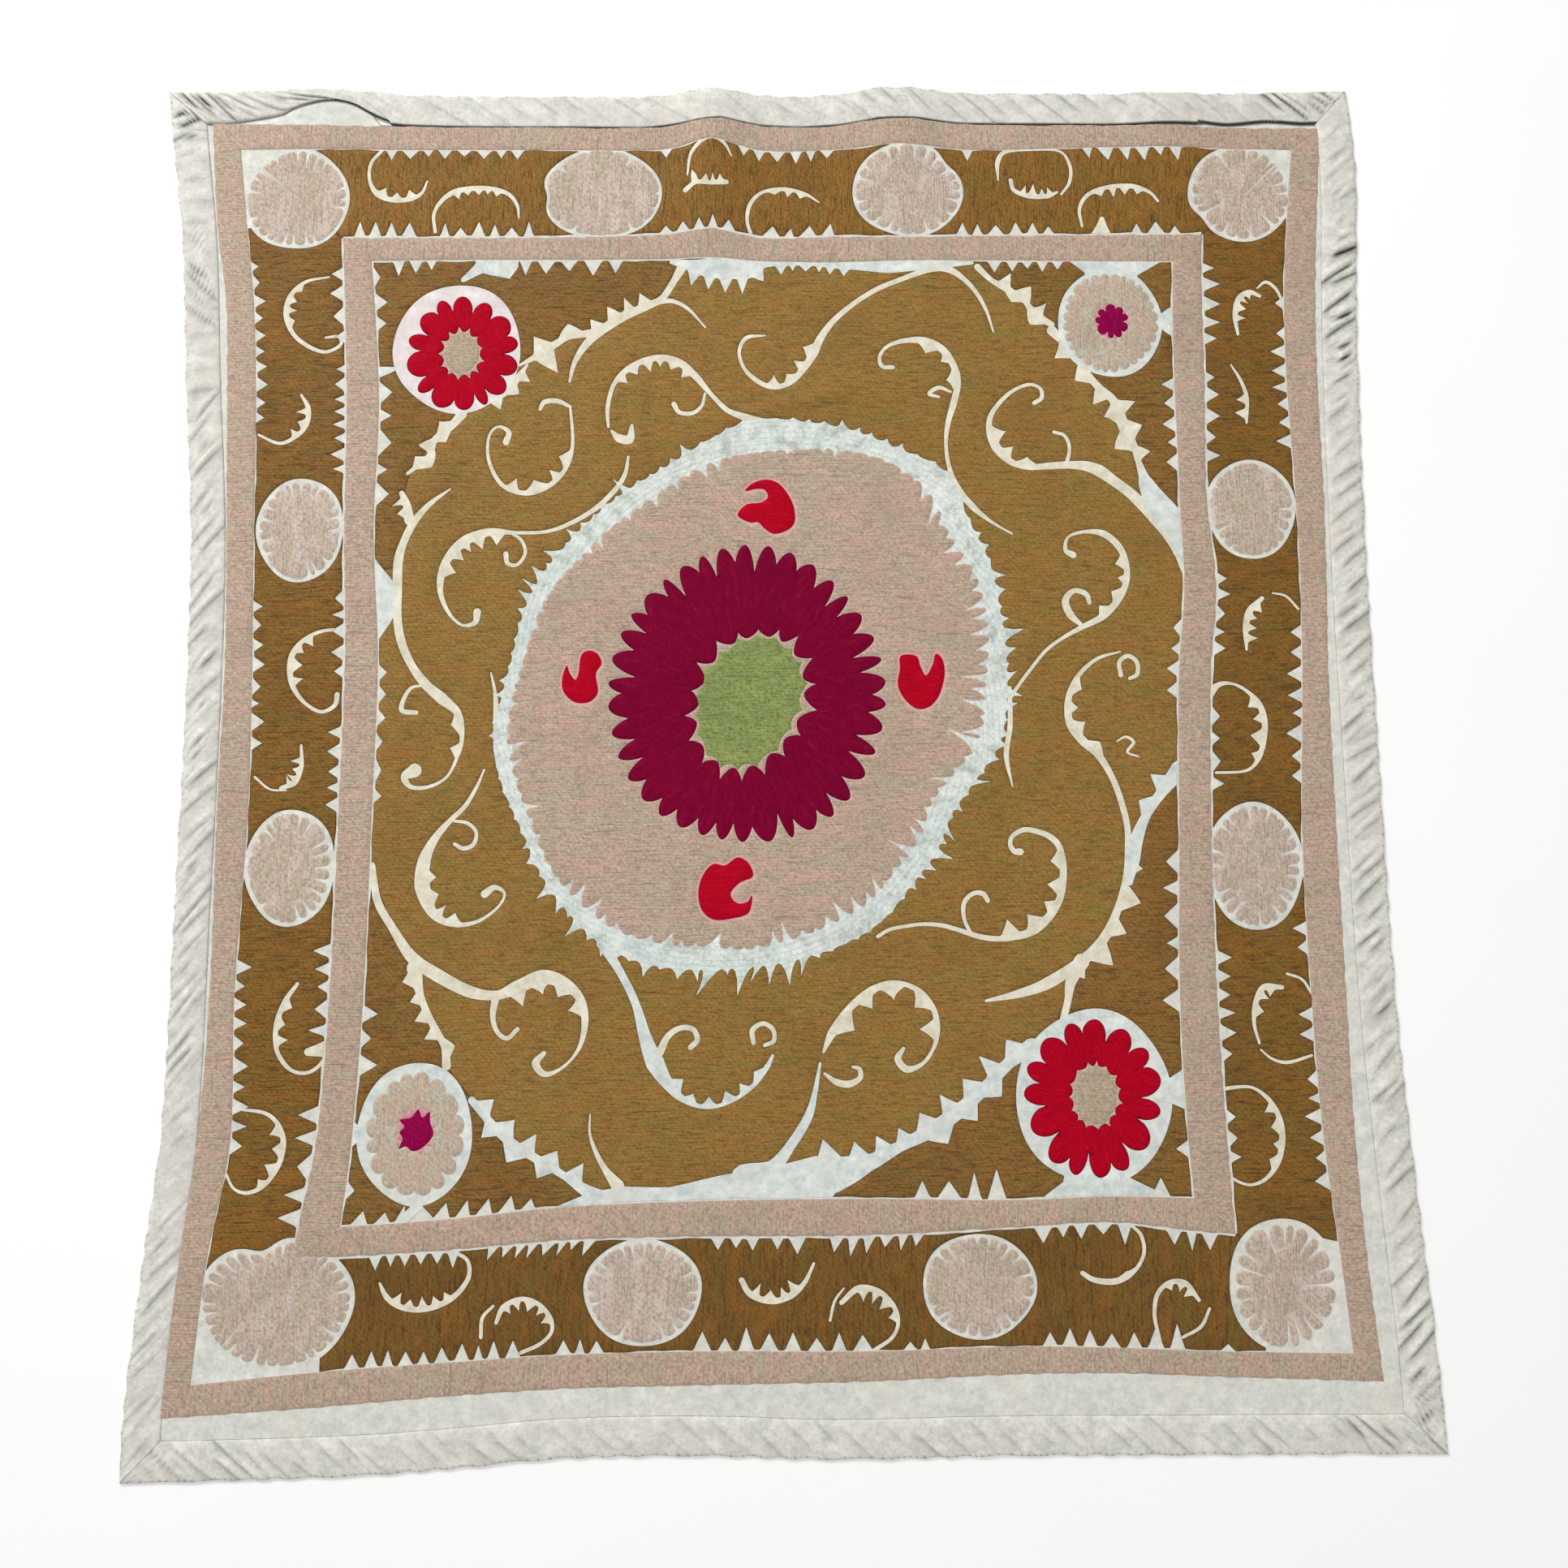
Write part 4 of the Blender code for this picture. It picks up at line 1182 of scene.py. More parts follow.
def stitched_pieces(chart, finishes, sizes):
    """One closed piece for each kind of thread in a zone, and one for the lines of bare cloth between them."""
    ground = sizes.ground_thickness / MM
    top, rounding = sizes.thread_height / MM, sizes.thread_rounding / MM
    verts, kinds = cut_zone(chart, sizes.grid_step / MM, rounding)

    def thread_top(plan, away):
        inner = np.clip(away / rounding, 0, 1)
        arch = np.sqrt(1 - (1 - inner) ** 2)
        return lift_mm(plan) + ground + 0.22 + (top - 0.22) * arch, inner

    def line_top(plan, away):
        return lift_mm(plan) + ground + 0.35, np.ones(len(plan))

    def root(plan):
        return lift_mm(plan) + ground - 0.4

    for kind, faces in kinds.items():
        points, all_faces, edge = closed_patch(verts, faces, line_top if lies_flat(kind) else thread_top, root, 14.0)
        finish, centre = finishes[kind]
        piece = mesh_object(kind, points * MM, all_faces, bpy.data.materials[finish], edge, centre=centre)
        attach(piece, "root")


# Nodes for the finishes


class Shading:
    """Adds nodes to a tree and links them, with one call for each node."""

    def __init__(self, tree):
        self.tree = tree

    def node(self, kind, inputs=None, **settings):
        made = self.tree.nodes.new(kind)
        for key, value in settings.items():
            setattr(made, key, value)
        for key, value in (inputs or {}).items():
            if isinstance(value, bpy.types.NodeSocket):
                self.tree.links.new(value, made.inputs[key])
            else:
                made.inputs[key].default_value = value
        return made

    def math(self, operation, first, second=0.0, clamp=False):
        return self.node("ShaderNodeMath", {0: first, 1: second}, operation=operation, use_clamp=clamp).outputs[0]

    def place(self, x, y, z=0.0):
        return self.node("ShaderNodeCombineXYZ", {0: x, 1: y, 2: z}).outputs[0]

    def noise(self, where, scale, detail=2.0, rough=0.5):
        made = self.node("ShaderNodeTexNoise", {"Vector": where, "Scale": scale, "Detail": detail, "Roughness": rough})
        return made.outputs["Fac"]

    def span(self, value, low, high, to_low=0.0, to_high=1.0):
        return self.node("ShaderNodeMapRange", {0: value, 1: low, 2: high, 3: to_low, 4: to_high}).outputs[0]

    def mix(self, share, first, second, blend="MIX"):
        made = self.node("ShaderNodeMix", data_type="RGBA", blend_type=blend)
        for key, value in ((0, share), (6, first), (7, second)):
            if isinstance(value, bpy.types.NodeSocket):
                self.tree.links.new(value, made.inputs[key])
            elif key == 0:
                made.inputs[key].default_value = value
            else:
                made.inputs[key].default_value = (*value[:3], 1.0)
        return made.outputs[2]


def new_group(name, inputs, outputs):
    """An empty shader group with its named sockets, and its input and output nodes."""
    tree = bpy.data.node_groups.new(name, "ShaderNodeTree")
    for label, kind, value in inputs:
        socket = tree.interface.new_socket(label, in_out="INPUT", socket_type=kind)
        if value is not None:
            socket.default_value = value
    for label, kind in outputs:
        tree.interface.new_socket(label, in_out="OUTPUT", socket_type=kind)
    shading = Shading(tree)
    return tree, shading, shading.node("NodeGroupInput").outputs, shading.node("NodeGroupOutput")


def laid_thread_group():
    """Threads laid side by side and held down by small couching stitches."""
    tree, s, given, out = new_group(
        "Laid Threads",
        (("Along", "NodeSocketFloat", 0.0), ("Across", "NodeSocketFloat", 0.0), ("Pitch", "NodeSocketFloat", 1.7 * MM),
         ("Streak Length", "NodeSocketFloat", 30 * MM)),
        (("Fine", "NodeSocketFloat"), ("Broad", "NodeSocketFloat"), ("Couching", "NodeSocketFloat"),
         ("Gaps", "NodeSocketFloat"), ("Height", "NodeSocketFloat")))
    sway = s.noise(s.place(given["Along"], given["Across"]), 45.0, 2.0)
    across = s.math("ADD", given["Across"], s.math("MULTIPLY", s.math("SUBTRACT", sway, 0.5), 5 * MM))
    rows = s.math("DIVIDE", across, given["Pitch"])
    runs = s.math("DIVIDE", given["Along"], given["Streak Length"])
    fine = s.noise(s.place(s.math("MULTIPLY", runs, 1.0), rows), 1.0, 3.0, 0.6)
    broad = s.noise(s.place(s.math("MULTIPLY", runs, 0.35), s.math("MULTIPLY", rows, 0.16), 3.7), 1.0, 3.0, 0.6)
    gap_place = s.place(s.math("MULTIPLY", given["Along"], 22.0), s.math("MULTIPLY", across, 300.0), 9.0)
    gaps = s.span(s.noise(gap_place, 1.0, 2.0, 0.5), 0.62, 0.72)
    rib = s.math("SINE", s.math("MULTIPLY", rows, math.tau * 0.75))
    along_wave = s.math("MULTIPLY", given["Along"], math.tau / 0.0052)
    tie = s.math("SINE", s.math("ADD", along_wave, s.math("MULTIPLY", rows, 2.1)))
    tie = s.math("POWER", s.math("MAXIMUM", tie, 0.0), 3.0)
    height = s.math("ADD", s.math("MULTIPLY", rib, 0.22), s.math("MULTIPLY", fine, 0.9))
    height = s.math("SUBTRACT", height, s.math("MULTIPLY", tie, 0.28))
    height = s.math("SUBTRACT", height, gaps)
    for label, value in (("Fine", fine), ("Broad", broad), ("Couching", tie), ("Gaps", gaps), ("Height", height)):
        tree.links.new(value, out.inputs[label])
    return tree


def plain_weave_group():
    """Plain weave: threads over and under each other, with slubs."""
    tree, s, given, out = new_group(
        "Plain Weave",
        (("Vector", "NodeSocketVector", None), ("Pitch", "NodeSocketFloat", 0.9 * MM)),
        (("Height", "NodeSocketFloat"), ("Mottle", "NodeSocketFloat"), ("Slubs", "NodeSocketFloat")))
    part = s.node("ShaderNodeSeparateXYZ", {0: given["Vector"]}).outputs
    warp = s.math("SINE", s.math("MULTIPLY", s.math("DIVIDE", part[0], given["Pitch"]), math.tau))
    weft = s.math("SINE", s.math("MULTIPLY", s.math("DIVIDE", part[1], given["Pitch"]), math.tau))
    slub_x = s.noise(s.place(s.math("MULTIPLY", part[0], 30.0), s.math("MULTIPLY", part[1], 900.0)), 1.0, 2.0)
    slub_y = s.noise(s.place(s.math("MULTIPLY", part[0], 900.0), s.math("MULTIPLY", part[1], 30.0), 5.0), 1.0, 2.0)
    slubs = s.math("MULTIPLY", s.math("ADD", slub_x, slub_y), 0.5)
    height = s.math("ADD", s.math("MULTIPLY", s.math("MULTIPLY", warp, weft), 0.3), slubs)
    mottle = s.noise(given["Vector"], 260.0, 4.0, 0.65)
    for label, value in (("Height", height), ("Mottle", mottle), ("Slubs", slubs)):
        tree.links.new(value, out.inputs[label])
    return tree


def wear_group():
    """Soft stains and handling marks over a whole cloth."""
    tree, s, given, out = new_group(
        "Age Marks",
        (("Vector", "NodeSocketVector", None), ("Size", "NodeSocketFloat", 9.0)),
        (("Stain", "NodeSocketFloat"), ("Fade", "NodeSocketFloat")))
    stain = s.span(s.noise(given["Vector"], given["Size"], 4.0, 0.6), 0.48, 0.72)
    shifted = s.node("ShaderNodeVectorMath", {0: given["Vector"], 1: (3.1, 1.7, 0.4)}, operation="ADD").outputs[0]
    fade = s.noise(shifted, 4.5, 3.0, 0.55)
    tree.links.new(stain, out.inputs["Stain"])
    tree.links.new(fade, out.inputs["Fade"])
    return tree


def start_material(name, roughness, sheen):
    """A new material's shading helper and its main shader."""
    material = bpy.data.materials.new(name)
    material.use_nodes = True
    material.node_tree.nodes.clear()
    s = Shading(material.node_tree)
    shader = s.node("ShaderNodeBsdfPrincipled")
    shader.inputs["Roughness"].default_value = roughness
    shader.inputs["Sheen Weight"].default_value = sheen
    shader.inputs["Sheen Roughness"].default_value = 0.5
    shader.inputs["Specular IOR Level"].default_value = 0.25
    out = s.node("ShaderNodeOutputMaterial")
    material.node_tree.links.new(shader.outputs[0], out.inputs[0])
    return material, s, shader


def placed_group(s, group, inputs):
    made = s.node("ShaderNodeGroup", node_tree=group)
    for key, value in inputs.items():
        if isinstance(value, bpy.types.NodeSocket):
            s.tree.links.new(value, made.inputs[key])
        else:
            made.inputs[key].default_value = value
    return made.outputs


def thread_material(name, colour, direction, dark, warm, cool, rim_tone_and_shade, strengths=(0.75, 0.45, 0.40),
                    rim_tone_and_shade_share=0.55, pitch=2.0 * MM, streak=14 * MM, sheen=0.05, bump=0.6, flecks_share=0.5, gloss=0.2):
    """Laid threads in a main colour, with darker, warmer and cooler ones among them, painted shade in the couching
    dimples and the gaps between threads, and a rim colour that is painted shade where it is darker than the thread and
    a lighter thread tone where it is paler.
    """
    material, s, shader = start_material(name, 0.62, sheen)
    shader.inputs["Specular IOR Level"].default_value = gloss
    place = s.node("ShaderNodeTexCoord").outputs["Object"]
    x, y, _ = s.node("ShaderNodeSeparateXYZ", {0: place}).outputs
    if direction == RADIAL:
        centre = s.node("ShaderNodeAttribute", attribute_name="centre").outputs["Vector"]
        centre_x, centre_y, _ = s.node("ShaderNodeSeparateXYZ", {0: centre}).outputs
        x = s.math("SUBTRACT", x, centre_x)
        y = s.math("SUBTRACT", y, centre_y)
        distance = s.math("SQRT", s.math("ADD", s.math("MULTIPLY", x, x), s.math("MULTIPLY", y, y)))
        turn = s.math("ARCTAN2", y, x)
        along, across = distance, s.math("MULTIPLY", turn, 45 * MM)
    elif direction == ACROSS:
        along, across = x, y
    else:
        along, across = y, x
    threads = placed_group(s, bpy.data.node_groups["Laid Threads"],
                           {"Along": along, "Across": across, "Pitch": pitch, "Streak Length": streak})
    age = placed_group(s, bpy.data.node_groups["Age Marks"], {"Vector": place, "Size": 14.0})
    flecks = s.noise(place, 360.0, 3.0, 0.65)
    shade = s.mix(s.span(threads["Fine"], 0.50, 0.68, 0.0, strengths[0]), colour, dark)
    shade = s.mix(s.span(threads["Broad"], 0.50, 0.70, 0.0, strengths[1]), shade, warm)
    shade = s.mix(s.span(threads["Broad"], 0.48, 0.30, 0.0, strengths[2]), shade, cool)
    shade = s.mix(s.span(flecks, 0.50, 0.68, 0.0, flecks_share), shade, dark)
    light = tuple(min(1.0, c * 1.4 + 0.01) for c in colour)
    shade = s.mix(s.span(flecks, 0.46, 0.30, 0.0, flecks_share * 0.8), shade, light)
    shade = s.mix(s.span(threads["Fine"], 0.44, 0.28, 0.0, 0.45), shade, light)
    shade = s.mix(s.math("MULTIPLY", age["Stain"], 0.22), shade, dark)
    # Painted shade: the couching stitches' dimples and the gaps between the threads are darkened in colour.
    shade = s.mix(s.math("MULTIPLY", threads["Couching"], 0.22), shade, dark)
    shade = s.mix(s.math("MULTIPLY", threads["Gaps"], strengths[0] * 0.65), shade, dark)
    # Rim colour: where it is darker than the thread this is painted shade along the rounded rims; where it is paler it
    # is a lighter thread tone at the rims.
    edge = s.node("ShaderNodeAttribute", attribute_name="edge").outputs["Fac"]
    shade = s.mix(s.span(edge, 0.85, 0.0, 0.0, rim_tone_and_shade_share), shade, rim_tone_and_shade)
    s.tree.links.new(shade, shader.inputs["Base Color"])
    rough = s.span(threads["Fine"], 0.3, 0.7, 0.55, 0.75)
    s.tree.links.new(rough, shader.inputs["Roughness"])
    total = s.math("ADD", threads["Height"], s.math("MULTIPLY", flecks, 0.5))
    relief = s.node("ShaderNodeBump", {"Strength": bump, "Distance": 0.5 * MM, "Height": total})
    s.tree.links.new(relief.outputs[0], shader.inputs["Normal"])
    return material


def cotton_material(name, colour, grey, warm, crumple_shade_share, relief_share):
    """Plain cotton cloth, crumpled and a little stained, with painted shade and painted highlights over its crumples,
    and painted shade, painted highlights and stitch marks taken from a mark on its points.
    """
    material, s, shader = start_material(name, 0.85, 0.05)
    place = s.node("ShaderNodeTexCoord").outputs["Object"]
    weave = placed_group(s, bpy.data.node_groups["Plain Weave"], {"Vector": place, "Pitch": 0.9 * MM})
    age = placed_group(s, bpy.data.node_groups["Age Marks"], {"Vector": place, "Size": 16.0})
    crumple = s.noise(place, 75.0, 5.0, 0.62)
    shade = s.mix(s.span(weave["Mottle"], 0.44, 0.66, 0.0, 0.5), colour, grey)
    # Painted shade and painted highlight: the cloth is greyed where the crumple noise stands high and lightened with
    # the paler light colour where it stands low.
    shade = s.mix(s.span(crumple, 0.50, 0.68, 0.0, crumple_shade_share), shade, grey)
    light = tuple(min(1.0, c * 1.12 + 0.02) for c in colour)
    shade = s.mix(s.span(crumple, 0.46, 0.34, 0.0, 0.8), shade, light)
    shade = s.mix(s.span(age["Stain"], 0.0, 1.0, 0.0, 0.45), shade, warm)
    # Painted shade in creases and along the top seam, darkened towards a dark grey-green; negative values are painted
    # highlights on the ridges. Hem stitch marks come through the same mark.
    shade_and_stitch_marks = s.node("ShaderNodeAttribute", attribute_name="shade_and_stitch_marks").outputs["Fac"]
    shade = s.mix(s.math("MULTIPLY", shade_and_stitch_marks, 1.0, True), shade, tint(62, 67, 60))
    shade = s.mix(s.math("MULTIPLY", shade_and_stitch_marks, -1.6, True), shade, light)
    s.tree.links.new(shade, shader.inputs["Base Color"])
    total = s.math("ADD", weave["Height"], s.math("MULTIPLY", crumple, 4.0))
    relief = s.node("ShaderNodeBump", {"Strength": relief_share, "Distance": 0.6 * MM, "Height": total})
    s.tree.links.new(relief.outputs[0], shader.inputs["Normal"])
    return material


def seam_thread_material(name, colour):
    """A thick soft cotton thread, twisted."""
    material, s, shader = start_material(name, 0.7, 0.2)
    place = s.node("ShaderNodeTexCoord").outputs["Object"]
    twist = s.noise(place, 900.0, 2.0, 0.5)
    shade = s.mix(s.span(twist, 0.4, 0.7, 0.0, 0.5), colour, tuple(c * 0.7 for c in colour))
    s.tree.links.new(shade, shader.inputs["Base Color"])
    relief = s.node("ShaderNodeBump", {"Strength": 0.5, "Distance": 0.2 * MM, "Height": twist})
    s.tree.links.new(relief.outputs[0], shader.inputs["Normal"])
    return material


def floor_material():
    material, s, shader = start_material("Pale Floor", 0.9, 0.0)
    place = s.node("ShaderNodeTexCoord").outputs["Object"]
    grain = s.noise(place, 8.0, 3.0, 0.5)
    shade = s.mix(s.span(grain, 0.3, 0.7, 0.0, 0.15), tint(252, 252, 251), tint(247, 247, 246))
    s.tree.links.new(shade, shader.inputs["Base Color"])
    return material


GOLD_DARK, GOLD_WARM, GOLD_COOL = tint(92, 62, 24), tint(156, 102, 42), tint(120, 112, 46)
BORDER_DARK, BORDER_WARM, BORDER_COOL = tint(70, 42, 14), tint(150, 96, 32), tint(112, 98, 36)
PINK_DARK, PINK_WARM, PINK_COOL = tint(142, 124, 108), tint(204, 160, 146), tint(172, 168, 138)


def make_finishes(colours):
    """All the cloths' and threads' materials."""
    laid_thread_group()
    plain_weave_group()
    wear_group()
    field, corner, border = tuple(colours.field_gold), tuple(colours.corner_gold), tuple(colours.border_gold)
    # Dark rim colours of the golds, used as painted shade along their rims.
    gold_rim_shade, dark_rim_shade = tint(96, 72, 32), tint(66, 42, 16)
    thread_material("Field Gold", field, ACROSS, GOLD_DARK, GOLD_WARM, GOLD_COOL, gold_rim_shade, (0.65, 0.5, 0.5),
                    0.75)
    thread_material("Corner Gold", corner, ACROSS, BORDER_DARK, GOLD_WARM, GOLD_COOL, dark_rim_shade,
                    rim_tone_and_shade_share=0.75)
    # Painted light and shade: each side's border gold is the same colour scaled lighter or darker, the top and left lit
    # more and the bottom less.
    for side, light in (("Top", 1.22), ("Bottom", 0.84), ("Left", 1.05), ("Right", 1.0)):
        direction = ALONG if side in ("Top", "Bottom") else ACROSS
        thread_material(f"Border Gold {side}", tuple(c * light for c in border), direction, BORDER_DARK, BORDER_WARM,
                        BORDER_COOL, dark_rim_shade, (0.8, 0.5, 0.5), 0.75)
    pink = tuple(colours.pink)
    for name, direction in (("Pink Upright", ALONG), ("Pink Level", ACROSS)):
        thread_material(name, pink, direction, PINK_DARK, PINK_WARM, PINK_COOL, tint(176, 148, 134),
                        (0.75, 0.6, 0.6), 0.3, streak=9 * MM, flecks_share=0.85)
    thread_material("Pink Rosette", tint(192, 174, 158), ALONG, tint(150, 132, 117), tint(214, 200, 190), PINK_COOL,
                    tint(210, 198, 186), (0.75, 0.7, 0.6), 0.6, streak=12 * MM, flecks_share=0.8)
    thread_material("Pink Disc", pink, ACROSS, PINK_DARK, PINK_WARM, PINK_COOL, tint(222, 182, 172),
                    (0.85, 0.65, 0.65), 0.5, streak=13 * MM, flecks_share=0.75)
    thread_material("Pink Halo", tint(206, 140, 146), ACROSS, PINK_DARK, tint(206, 120, 130), PINK_COOL,
                    tint(220, 170, 168), (0.5, 0.5, 0.3), 0.5, streak=7 * MM)
    thread_material("Pale Disc", tint(190, 174, 154), ALONG, PINK_DARK, PINK_WARM, tint(186, 190, 172),
                    tint(206, 200, 186), (0.5, 0.5, 0.6), 0.5, streak=8 * MM, flecks_share=0.6)
    thread_material("Red", tuple(colours.red), RADIAL, tint(134, 0, 26), tint(190, 6, 34), tint(160, 0, 34),
                    tint(74, 0, 24), (0.3, 0.3, 0.3), 0.85, streak=12 * MM, sheen=0.0, flecks_share=0.3, bump=0.3,
                    gloss=0.04)
    thread_material("Red Curl", tuple(colours.red), ACROSS, tint(140, 0, 26), tint(194, 8, 36), tint(166, 0, 32),
                    tint(110, 0, 26), (0.3, 0.3, 0.3), 0.6, sheen=0.0, flecks_share=0.3, bump=0.3, gloss=0.04)
    thread_material("Magenta", tuple(colours.magenta), RADIAL, tint(88, 0, 34), tint(132, 0, 48), tint(106, 0, 44),
                    tint(56, 0, 28), (0.3, 0.3, 0.3), 0.8, streak=16 * MM, sheen=0.0, flecks_share=0.3, bump=0.25,
                    gloss=0.04)
    thread_material("Magenta Small", tint(142, 2, 68), ALONG, tint(100, 0, 48), tint(160, 6, 74), tint(120, 0, 56),
                    tint(104, 0, 46), (0.3, 0.3, 0.3), 0.5, streak=8 * MM, sheen=0.0, bump=0.3, gloss=0.04)
    thread_material("Green", tuple(colours.green), ACROSS, tint(84, 98, 50), tint(160, 166, 96),
                    tint(112, 136, 76), tint(146, 150, 92), (0.8, 0.5, 0.5), 0.4, streak=9 * MM, flecks_share=0.7)
    thread_material("Beige", tuple(colours.beige), ACROSS, tint(136, 120, 100), tint(190, 166, 142),
                    tint(172, 164, 136), tint(204, 156, 148), (0.6, 0.5, 0.5), 0.5, streak=8 * MM, flecks_share=0.7)
    ground = tuple(colours.ground)
    cotton_material("Ground Cotton", ground, tint(184, 190, 184), tint(232, 222, 206), 0.5, 0.5)
    cotton_material("Stained Cotton", tint(226, 218, 216), tint(200, 192, 190), tint(230, 206, 206), 0.5, 0.3)
    cotton_material("Puffed Cotton", tint(224, 229, 222), tint(182, 194, 194), tint(228, 222, 208), 0.7, 0.6)
    cotton_material("Ground Lines", tint(224, 219, 200), tint(190, 182, 156), tint(232, 224, 206), 0.6, 0.3)
    cotton_material("Strip Cotton", tuple(colours.strip), tint(194, 196, 187), tint(230, 216, 206), 0.45, 0.9)
    thread_material("Ring Cotton", tint(214, 221, 214), RADIAL, tint(160, 166, 156), tint(226, 230, 226),
                    tint(196, 208, 206), tint(206, 206, 190), (0.8, 0.6, 0.6), 0.3, pitch=2.6 * MM, streak=16 * MM,
                    bump=1.0)
    seam_thread_material("Seam Thread", tint(206, 206, 194))
    seam_thread_material("Dark Seam Thread", tint(134, 136, 126))


# The cloths


def closed_grid(upper, lower):
    """Points and faces of a closed body between two grids with the same rows. The lower may have fewer columns."""
    rows, columns = upper.shape[:2]
    top = np.arange(rows * columns).reshape(rows, columns)
    under = rows * columns + np.arange(lower.shape[0] * lower.shape[1]).reshape(lower.shape[:2])
    faces = []
    for grid in (top, under):
        quads = np.stack((grid[:-1, :-1], grid[1:, :-1], grid[1:, 1:], grid[:-1, 1:]), axis=-1)
        faces.extend(quads.reshape(-1, 4).tolist())
    for side in (0, -1):
        faces.extend(np.stack((top[:-1, side], top[1:, side], under[1:, side], under[:-1, side]), axis=-1).tolist())
        if lower.shape[1] == columns:
            ends = np.stack((top[side, :-1], top[side, 1:], under[side, 1:], under[side, :-1]), axis=-1)
            faces.extend(ends.tolist())
        else:
            faces.append(top[side].tolist() + under[side, ::-1].tolist())
    return np.concatenate((upper.reshape(-1, 3), lower.reshape(-1, 3))), faces


def raised(plan, above):
    return np.concatenate((plan, (cloth_lift(plan) + above)[..., None]), axis=-1)


class TABLECLOTH_OT_finishes(bpy.types.Operator):
    """Make the materials of the threads and the cloths"""
    bl_idname = "tablecloth.finishes"
    bl_label = "Finishes"

    def execute(self, context):
        make_finishes(context.scene.tablecloth_colours)
        return {"FINISHED"}


class TABLECLOTH_OT_field(bpy.types.Operator):
    """Stitch the field: its gold, its medallion and its corner flowers"""
    bl_idname = "tablecloth.field"
    bl_label = "Field Stitching"

    def execute(self, context):
        chart = Chart(1)
        finishes = {"field_gold": ("Field Gold", None), "bare_lines_field": ("Ground Lines", None)}
        chart.add(loop_outline(INNER_IN, TUCK), "field_gold")
        for corner, outline in CORNERS.items():
            finishes[f"corner_gold_{corner}"] = ("Corner Gold", None)
            chart.add(outline, f"corner_gold_{corner}")
        for number, (route, widths, teeth) in enumerate(FIELD_LINES):
            kind = "bare_puffs" if max(widths) >= WIDE_LINE else "bare_lines_field"
            chart.add(ribbon(route, widths, teeth, f"field {number}"), kind)
        for side in BAND_EDGES:
            chart.add(fringe_outline(side, INNER_IN, True), BARE)
        for x, y, wide, high, kind in BARE_GROUNDS:
            chart.add(ring_outline(x, y, wide, high, 9, 0, f"ground {x}"), kind)
        chart.add(polar_outline(1, RING_TEETH, "ring", True), "bare_ring")
        finishes["bare_stained"] = ("Stained Cotton", None)
        finishes["bare_puffs"] = ("Puffed Cotton", None)
        finishes["bare_ring"] = ("Ring Cotton", MEDALLION)
        chart.add(polar_outline(3, DISC_CUTS, "disc", False), "medallion_disc")
        finishes["medallion_disc"] = ("Pink Disc", None)
        for name, x, y, wide, high, petals, depth, sharpness, finish in PETALLED:
            finishes[name] = (finish, (x, y))
            chart.add(ring_outline(x, y, wide, high, petals, depth, name, sharpness), name)
        for name, x, y, wide, high, turn, points, depth, pointed, finish in FLOWER_MIDDLES:
            finishes[name] = (finish, None)
            sharpness = 0.7 if pointed else 0.55
            chart.add(ring_outline(x, y, wide, high, points, depth, name, sharpness, turn=turn, pointed=pointed), name)
        finishes["middle_bottom_left"] = ("Magenta Small", None)
        chart.add(curve(LITTLE_FLOWER, closed=True)[0], "middle_bottom_left")
        for place, outline in CURLS.items():
            finishes[f"red_curl_{place}"] = ("Red Curl", None)
            chart.add(beside(curve(outline, closed=True)[0], 1.6, False), "curl_halos")
            chart.add(curve(outline, closed=True)[0], f"red_curl_{place}")
        finishes["curl_halos"] = ("Pink Halo", None)
        stitched_pieces(chart, finishes, context.scene.tablecloth_sizes)
        return {"FINISHED"}


class TABLECLOTH_OT_border(bpy.types.Operator):
    """Stitch the border: its gold, its hooks and its rosettes"""
    bl_idname = "tablecloth.border"
    bl_label = "Border Stitching"

    def execute(self, context):
        chart = Chart(len(BAND_EDGES))
        finishes = {"bare_lines_border": ("Ground Lines", None)}
        for side in BAND_EDGES:
            kind = f"border_gold_{side}"
            finishes[kind] = (f"Border Gold {side.title()}", None)
            runs = []
            for column, grow in ((OUTER_IN, TUCK), (INNER_OUT, -TUCK)):
                start, end = side_ends(side, column)
                points = on_edge(side, column, np.linspace(start, end, 140)) + np.array(OUTWARD[side]) * grow
                runs.append(points)
            chart.add(np.concatenate((runs[0], runs[1][::-1])), kind)
        for number, (route, widths, teeth) in enumerate(BORDER_LINES):
            chart.add(ribbon(route, widths, teeth, f"border {number}"), "bare_lines_border")
        for side in BAND_EDGES:
            chart.add(fringe_outline(side, OUTER_IN, True), BARE)
            chart.add(fringe_outline(side, INNER_OUT, False), BARE)
        for outline in ROSETTE_CORNERS:
            chart.add(outline, BARE)
        for name, x, y, wide, high, slits, depth, dent_angle, dent, rim in ROSETTES:
            kind = f"rosette_{name}"
            finishes[kind] = ("Pink Rosette", (x, y))
            chart.add(ring_outline(x, y, wide + rim * 0.7, high + rim * 0.7, 9, 0, kind, dent=dent, dent_angle=dent_angle), BARE)
            slit_rim = ring_outline(x, y, wide, high, slits, depth * 1.6, kind, 0.22, dent, dent_angle, least=-0.1)
            chart.add(slit_rim, kind)
        stitched_pieces(chart, finishes, context.scene.tablecloth_sizes)
        return {"FINISHED"}


BAND_PROFILE = (
    # share of the way across a band, share of the thread height
    (0.0, 0.25),
    (0.03, 0.62),
    (0.09, 0.92),
    (0.24, 1.0),
    (0.42, 0.96),
    (0.50, 0.84),
    (0.58, 0.96),
    (0.76, 1.0),
    (0.91, 0.92),
    (0.97, 0.62),
    (1.0, 0.25),
)


